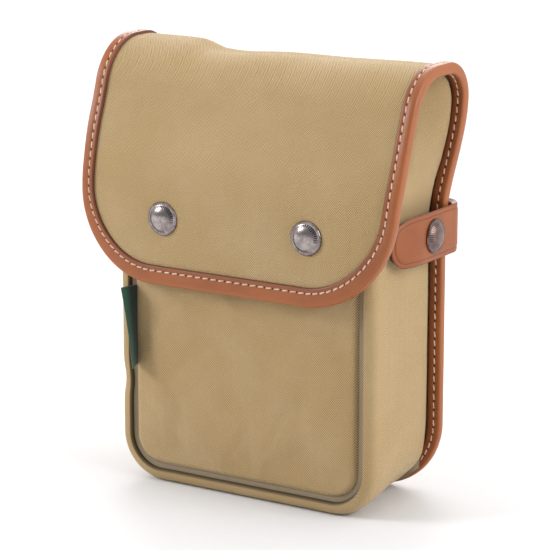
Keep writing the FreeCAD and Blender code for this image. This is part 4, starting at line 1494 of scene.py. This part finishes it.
        def place(u: float, v: float) -> Vector:
            loose = sag * math.sin(math.pi * u) * smooth(v, 0.3, 1.0)
            wave = 0.25 * MM * ripple(u * width, v * height, 19 * MM, 5.0)
            return corner + Vector((u * width, sign * (loose + wave), v * height - 0.4 * loose))

        piece = cloth_grid(name, 60, 40, place, lambda u, v: (u * width, v * height), flip=False)
        if (piece.data.polygons[0].normal.y > 0) != inner:
            piece.data.flip_normals()
        thicken(piece, thick)
        shade(piece, 60.0)
        self.wardrobe.dress(piece, Slot.LINING, finish)
        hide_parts(replaced)
        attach(piece, Body.POUCH.value)
        self.keep(piece)

    def build_inside(self) -> None:
        """Builds the front lining, the mouth facing and the slip pocket."""
        for node, finish, sag, inner in (("front_lining", SAND, 0.0, True),
                                         ("mouth_facing", KHAKI, 0.0, True),
                                         ("inner_pocket", SAND, 1.6 * MM, False)):
            low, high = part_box(node)
            face = high.y if inner else low.y
            corner = Vector((low.x, face, low.z))
            size = high - low
            self.flat_cloth(f"{node}_cloth", corner, size.x, size.z, finish, node, sag, inner)

    def build(self) -> None:
        """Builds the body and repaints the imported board."""
        self.build_front()
        self.build_gusset()
        self.build_inside()
        self.wardrobe.repaint("base_board", PressedBoard("pressed_board"))


@dataclass
class Fastenings(Assembly):
    """Leather tabs, their patches, and the domed press-stud caps."""

    thickness: float = 2.2 * MM
    tip: float = 9.5 * MM
    plait: float = 7.0 * MM
    slant_run: float = 18.0 * MM
    slant_drop: float = 5.0 * MM
    bend_ahead: float = 12.5 * MM
    bend_radius: float = 40.0 * MM
    thread: Thread = field(default_factory=Thread)

    def __post_init__(self) -> None:
        """Reads the tab's sizes from the frame and lays out its path as seen from above."""
        low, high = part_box("right_tab")
        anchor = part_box("right_tab_anchor")
        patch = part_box("tab_patches")
        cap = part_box("right_tab_cap")
        self.middle = (low.z + high.z) / 2
        self.half = (high.z - low.z) / 2
        self.face = high.x
        self.seat = anchor[0].y + self.thickness
        self.patch_z = (patch[0].z, patch[1].z)
        self.stud = Vector((self.face, (cap[0].y + cap[1].y) / 2, self.middle))
        inner = anchor[0].x
        back = max(anchor[1].y, high.y)
        self.plan = RoundedLine([
            (inner, self.seat, 0.0),
            (inner + 20 * MM, self.seat, self.plait),
            (inner + 24 * MM, back, self.plait),
            (self.face, back, 9 * MM),
            (self.face, self.stud.y - self.bend_ahead, self.bend_radius),
            (self.face - 4.2 * MM, low.y, 0.0),
        ])
        self.rim = self.outline()

    def strap_edges(self, s: float) -> Pair:
        """Lower and upper edge of the tab at a length along it: a round corner below, a slant above."""
        short = s - (self.plan.length - self.tip)
        low = self.half
        if short > 0:
            low = self.half - self.tip + math.sqrt(max(self.tip ** 2 - short ** 2, 0.0))
        share = (s - self.plan.length + self.slant_run) / self.slant_run
        slant = min(max(share, 0.0), 1.0) ** 2.2 * self.slant_drop
        nose = min(max((s - (self.plan.length - 5 * MM)) / (5 * MM), 0.0), 1.0)
        high = (self.half - slant) * (1 - 0.72 * (1 - math.sqrt(1 - nose * nose)))
        return -low, high

    def outline(self) -> list[Vector]:
        """The tab's outline, flat, as length along and height across."""
        length = self.plan.length
        count = 160
        marks = [length * math.sin(math.pi / 2 * i / count) for i in range(count + 1)]
        lower = [Vector((s, self.strap_edges(s)[0])) for s in marks]
        upper = [Vector((s, self.strap_edges(s)[1])) for s in marks]
        return resampled(lower + upper[::-1] + lower[:1], 0.7 * MM)

    def margin(self, s: float, across: float) -> float:
        """Distance of a point of the tab from its nearest edge."""
        spot = Vector((s, across))
        return min((spot - p).length for p in self.rim)

    def strap(self) -> bpy.types.Object:
        """Models the right tab from its sewn end round the fold to its tip."""
        length = self.plan.length

        def at(u: float, v: float) -> tuple[float, float]:
            s = length * math.sin(v * math.pi / 2) ** 0.9
            low, high = self.strap_edges(s)
            return s, low + (high - low) * u

        def place(u: float, v: float) -> Vector:
            s, across = at(u, v)
            spot, heading = self.plan.at(s)
            out = Vector((-heading.y, heading.x))
            edge = self.margin(s, across)
            away = math.hypot(s - self.stud_length(), across)
            lift = 0.25 * MM * smooth(edge, 0.0, 3 * MM) - 0.3 * MM * bump(edge, 2.1 * MM, 0.5 * MM)
            lift *= smooth(away, 6 * MM, 9 * MM)
            lift -= 0.35 * MM * (1 - smooth(edge, 0.0, 0.8 * MM))
            spot = spot + out * lift
            return Vector((spot.x, spot.y, self.middle + across))

        def weave(u: float, v: float) -> Pair:
            s, across = at(u, v)
            return s, self.margin(s, across)

        strap = cloth_grid("right_tab_leather", 36, 150, place, weave)
        thicken(strap, self.thickness, 1)
        return strap

    def stud_length(self) -> float:
        """Length along the tab at which its stud sits."""
        tip = self.plan.at(self.plan.length)[0]
        bend = self.plan.length - (Vector((self.face, self.stud.y - self.bend_ahead)) - tip).length
        return bend - self.bend_ahead

    def sewn_line(self) -> list[tuple[Vector, Vector]]:
        """Follows the stitched rectangle that holds the tab's end to the back."""
        low_s, high_s, edge = 3 * MM, 15 * MM, self.half - 3 * MM
        corners = [Vector((low_s, -edge)), Vector((low_s, edge)), Vector((high_s, edge)),
                   Vector((high_s, -edge)), Vector((low_s, -edge))]
        result = []
        for place in resampled(corners, 1.0 * MM):
            spot, _ = self.plan.at(place.x)
            result.append((Vector((spot.x, spot.y + 0.1 * MM, self.middle + place.y)), Vector((0, 1, 0))))
        return result

    def bend_strap(self, piece: bpy.types.Object, side: Side) -> None:
        """Reads where a tab's fold lies, then only bakes the tab's transform into its mesh; the tab is not
        bent.
        """
        axis = self.pattern.joints[f"{side.name.lower()}_tab_fold"]["pos_m"]
        fold = Vector((abs(axis[0]), axis[1], axis[2]))
        start, end = fold + Vector((-9 * MM, 1 * MM, 0)), fold + Vector((1 * MM, -9 * MM, 0))
        if side is Side.LEFT:
            start.x, end.x = -start.x, -end.x
        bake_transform(piece)

    def cap_rings(self, radius: float, height: float) -> list[Pair]:
        """Rings of a domed cap with a fine raised rim and a shallow groove inside it."""
        shape = [(0.93, 0.0), (0.99, 0.06), (1.0, 0.16), (0.985, 0.30), (0.945, 0.40), (0.89, 0.42),
                 (0.85, 0.385), (0.82, 0.40), (0.77, 0.50), (0.70, 0.62), (0.60, 0.75), (0.48, 0.86),
                 (0.34, 0.94), (0.18, 0.985), (0.0, 1.0)]
        return [(radius * r, height * h) for r, h in shape]

    def build_caps(self) -> None:
        """Models the four domed caps."""
        radius = self.pattern.cap_radius
        height = self.pattern.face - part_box("flap_caps")[0].y
        for side in Side:
            place = Vector((side.value * self.pattern.stud_x, self.pattern.face, self.pattern.stud_z))
            cap = turned_piece(f"{side.name.lower()}_flap_cap", self.cap_rings(radius, height), place,
                               Vector((0, -1, 0)))
            self.finish_metal(cap, Body.FLAP_FRONT, "flap_caps", NICKEL)
            place = Vector((side.value * self.stud.x, self.stud.y, self.stud.z))
            body = Body.RIGHT_TAB if side is Side.RIGHT else Body.LEFT_TAB
            cap = turned_piece(f"{side.name.lower()}_tab_dome", self.cap_rings(radius, height), place,
                               Vector((side.value, 0, 0)))
            # The tab dome takes the darker nickel copy, which is painted shade.
            self.finish_metal(cap, body, f"{side.name.lower()}_tab_cap", SHADED_NICKEL)

    def finish_metal(self, cap: bpy.types.Object, body: Body, replaced: str, finish: AgedMetal) -> None:
        """Dresses a cap and lets it ride its body."""
        shade(cap, 35.0)
        self.wardrobe.dress(cap, Slot.CAP, finish)
        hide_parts(replaced)
        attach(cap, body.value)
        self.keep(cap)

    def build_tabs(self) -> None:
        """Builds both tabs with their stitches."""
        right = self.strap()
        shade(right, 40.0)
        seam = self.thread.row("right_tab_stitches", self.thread.along(self.sewn_line()))
        left = mirrored_copy(right, "left_tab_leather")
        left_seam = mirrored_copy(seam, "left_tab_stitches")
        for strap, row, side in ((right, seam, Side.RIGHT), (left, left_seam, Side.LEFT)):
            self.wardrobe.dress(strap, Slot.TAB, TAB_FACE, TAB_EDGE)
            name = side.name.lower()
            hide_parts(f"{name}_tab", f"{name}_tab_anchor")
            self.bend_strap(strap, side)
            self.wardrobe.dress(row, Slot.TAB, LINEN)
            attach(row, Body.POUCH.value)
            self.keep(strap)
            self.keep(row)

    def build_patches(self) -> None:
        """Models the leather patches under the tab studs, each with a stitched border."""
        size = self.patch_z[1] - self.patch_z[0]
        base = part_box("tab_patches")[1].x - 1.5 * MM
        pieces, rows = [], []
        for side in Side:
            clear_selection()
            centre = (side.value * (base + 0.75 * MM), self.stud.y, self.middle)
            bpy.ops.mesh.primitive_cube_add(size=1, location=centre)
            patch = bpy.context.object
            patch.scale = (1.5 * MM, size, size)
            bpy.ops.object.transform_apply(location=True, rotation=False, scale=True)
            round_off = patch.modifiers.new("round", "BEVEL")
            round_off.width = 0.4 * MM
            round_off.segments = 3
            apply_modifiers(patch)
            pieces.append(patch)
            edge = size / 2 - 1.6 * MM
            ring = [Vector((a, b)) for a, b in ((-edge, -edge), (edge, -edge), (edge, edge), (-edge, edge),
                                                (-edge, -edge))]
            line = [(Vector((side.value * (base + 1.5 * MM), self.stud.y + p.x, self.middle + p.y)),
                     Vector((side.value, 0, 0))) for p in resampled(ring, 1.0 * MM)]
            rows.append(self.thread.row(f"{side.name.lower()}_patch_stitches", self.thread.along(line)))
        patches = joined("tab_patch_leather", pieces)
        shade(patches, 35.0)
        self.wardrobe.dress(patches, Slot.TAB, TannedLeather("patch_tan"))
        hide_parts("tab_patches")
        for piece in [patches, *rows]:
            if piece in rows:
                self.wardrobe.dress(piece, Slot.TAB, LINEN)
            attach(piece, Body.POUCH.value)
            self.keep(piece)

    def build(self) -> None:
        """Builds tabs, patches and caps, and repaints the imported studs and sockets."""
        self.build_tabs()
        self.build_patches()
        self.build_caps()
        for node in ("flap_studs", "flap_eyelets", "tab_studs", "tab_eyelets", "flap_sockets",
                     "right_tab_socket", "left_tab_socket", "flap_socket_springs", "right_tab_spring",
                     "left_tab_spring"):
            self.wardrobe.repaint(node, BRASS)


@dataclass
class SideLabel(Assembly):
    """A folded ribbon caught in the front seam, its free end twisted towards the middle."""

    twist: float = 6.0 * MM
    ribbon: float = 0.45 * MM

    def build(self) -> None:
        """Builds the ribbon from one seam allowance round its fold and back."""
        low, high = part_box("side_label")
        root = high.x + 1.4 * MM
        reach = high.y - low.y - 0.6 * MM

        def place(u: float, v: float) -> Vector:
            out = 1 - abs(2 * u - 1)
            leaf = 1 if u < 0.5 else -1
            gap = 0.55 * MM * leaf * math.sqrt(max(1 - out ** 6, 0.0))
            sway = self.twist * (0.67 - v) * out ** 1.4
            curl = 0.5 * MM * math.sin(math.pi * v) * out
            z = low.z + (high.z - low.z) * v
            return Vector((root - gap + sway, high.y - reach * out + curl, z))

        label = cloth_grid("side_label_ribbon", 40, 30, place,
                           lambda u, v: (u * 2 * reach, v * (high.z - low.z)))
        thicken(label, self.ribbon)
        shade(label, 60.0)
        self.wardrobe.dress(label, Slot.RIBBON, GREEN)
        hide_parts("side_label")
        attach(label, Body.POUCH.value)
        self.keep(label)


# ---------------------------------------------------------------------------- studio


@dataclass(frozen=True)
class Studio:
    """Pale floor, soft lights and the camera."""

    azimuth: float = 32.26
    elevation: float = 13.53
    distance: float = 1.11
    target: tuple[float, float, float] = (0.0, 0.0042, 0.095)
    lens: float = 166.6

    def place_camera(self) -> None:
        """Aims the camera at the pouch."""
        around, up = math.radians(self.azimuth), math.radians(self.elevation)
        back = Vector((math.sin(around) * math.cos(up), -math.cos(around) * math.cos(up), math.sin(up)))
        data = bpy.data.cameras.new("camera")
        data.lens = self.lens
        data.clip_start, data.clip_end = 0.02, 20.0
        camera = bpy.data.objects.new("camera", data)
        bpy.context.scene.collection.objects.link(camera)
        camera.location = Vector(self.target) + back * self.distance
        camera.rotation_euler = (-back).to_track_quat("-Z", "Y").to_euler()
        bpy.context.scene.camera = camera

    def add_light(self, name: str, place: Sequence[float], size: float, power: float) -> None:
        """Adds a soft square light aimed at the pouch."""
        data = bpy.data.lights.new(name, "AREA")
        data.size = size
        data.energy = power
        light = bpy.data.objects.new(name, data)
        bpy.context.scene.collection.objects.link(light)
        light.location = place
        aim = Vector(self.target) - Vector(place)
        light.rotation_euler = aim.to_track_quat("-Z", "Y").to_euler()

    def lay_floor(self) -> None:
        """Lays the pale floor."""
        clear_selection()
        bpy.ops.mesh.primitive_plane_add(size=30)
        floor = bpy.context.object
        floor.name = "floor"
        floor.data.materials.append(SeamlessPaper("seamless_paper").make())

    def light_room(self) -> None:
        """Makes the room white behind the pouch and dimmer in front of it."""
        world = bpy.data.worlds.new("white_room")
        world.use_nodes = True
        tree = world.node_tree
        back = tree.nodes["Background"]
        back.inputs["Color"].default_value = (1.0, 1.0, 1.0, 1.0)
        direction = tree.nodes.new("ShaderNodeTexCoord").outputs["Generated"]
        facing = tree.nodes.new("ShaderNodeVectorMath")
        facing.operation = "DOT_PRODUCT"
        around = math.radians(self.azimuth)
        facing.inputs[1].default_value = (-math.sin(around) + 0.25, math.cos(around), 0.25)
        tree.links.new(direction, facing.inputs[0])
        fall = tree.nodes.new("ShaderNodeMapRange")
        fall.inputs["From Min"].default_value = -0.6
        fall.inputs["From Max"].default_value = 0.5
        fall.inputs["To Min"].default_value = 0.34
        fall.inputs["To Max"].default_value = 1.12
        tree.links.new(facing.outputs["Value"], fall.inputs["Value"])
        tree.links.new(fall.outputs[0], back.inputs["Strength"])
        bpy.context.scene.world = world

    def build(self) -> None:
        """Sets up the studio."""
        self.lay_floor()
        self.add_light("key", (-1.05, -0.80, 0.75), 0.50, 12.5)
        self.add_light("side", (1.35, 0.10, 0.75), 0.90, 13.0)
        self.add_light("top", (0.0, 0.2, 1.4), 0.9, 2.6)
        self.add_light("backdrop", (-1.6, 2.6, 1.5), 1.6, 44.0)
        self.light_room()
        self.place_camera()
        bpy.context.scene.view_settings.view_transform = "Standard"


def main() -> None:
    """Builds every sub-assembly in order, then the studio."""
    logging.basicConfig(level=logging.INFO, format="%(message)s")
    pattern, wardrobe = Pattern(), Wardrobe()
    for assembly in (Covers, Bindings, PaddedBody, Fastenings, SideLabel):
        assembly(pattern, wardrobe).build()
    Studio().build()


if __name__ == "__main__":
    main()
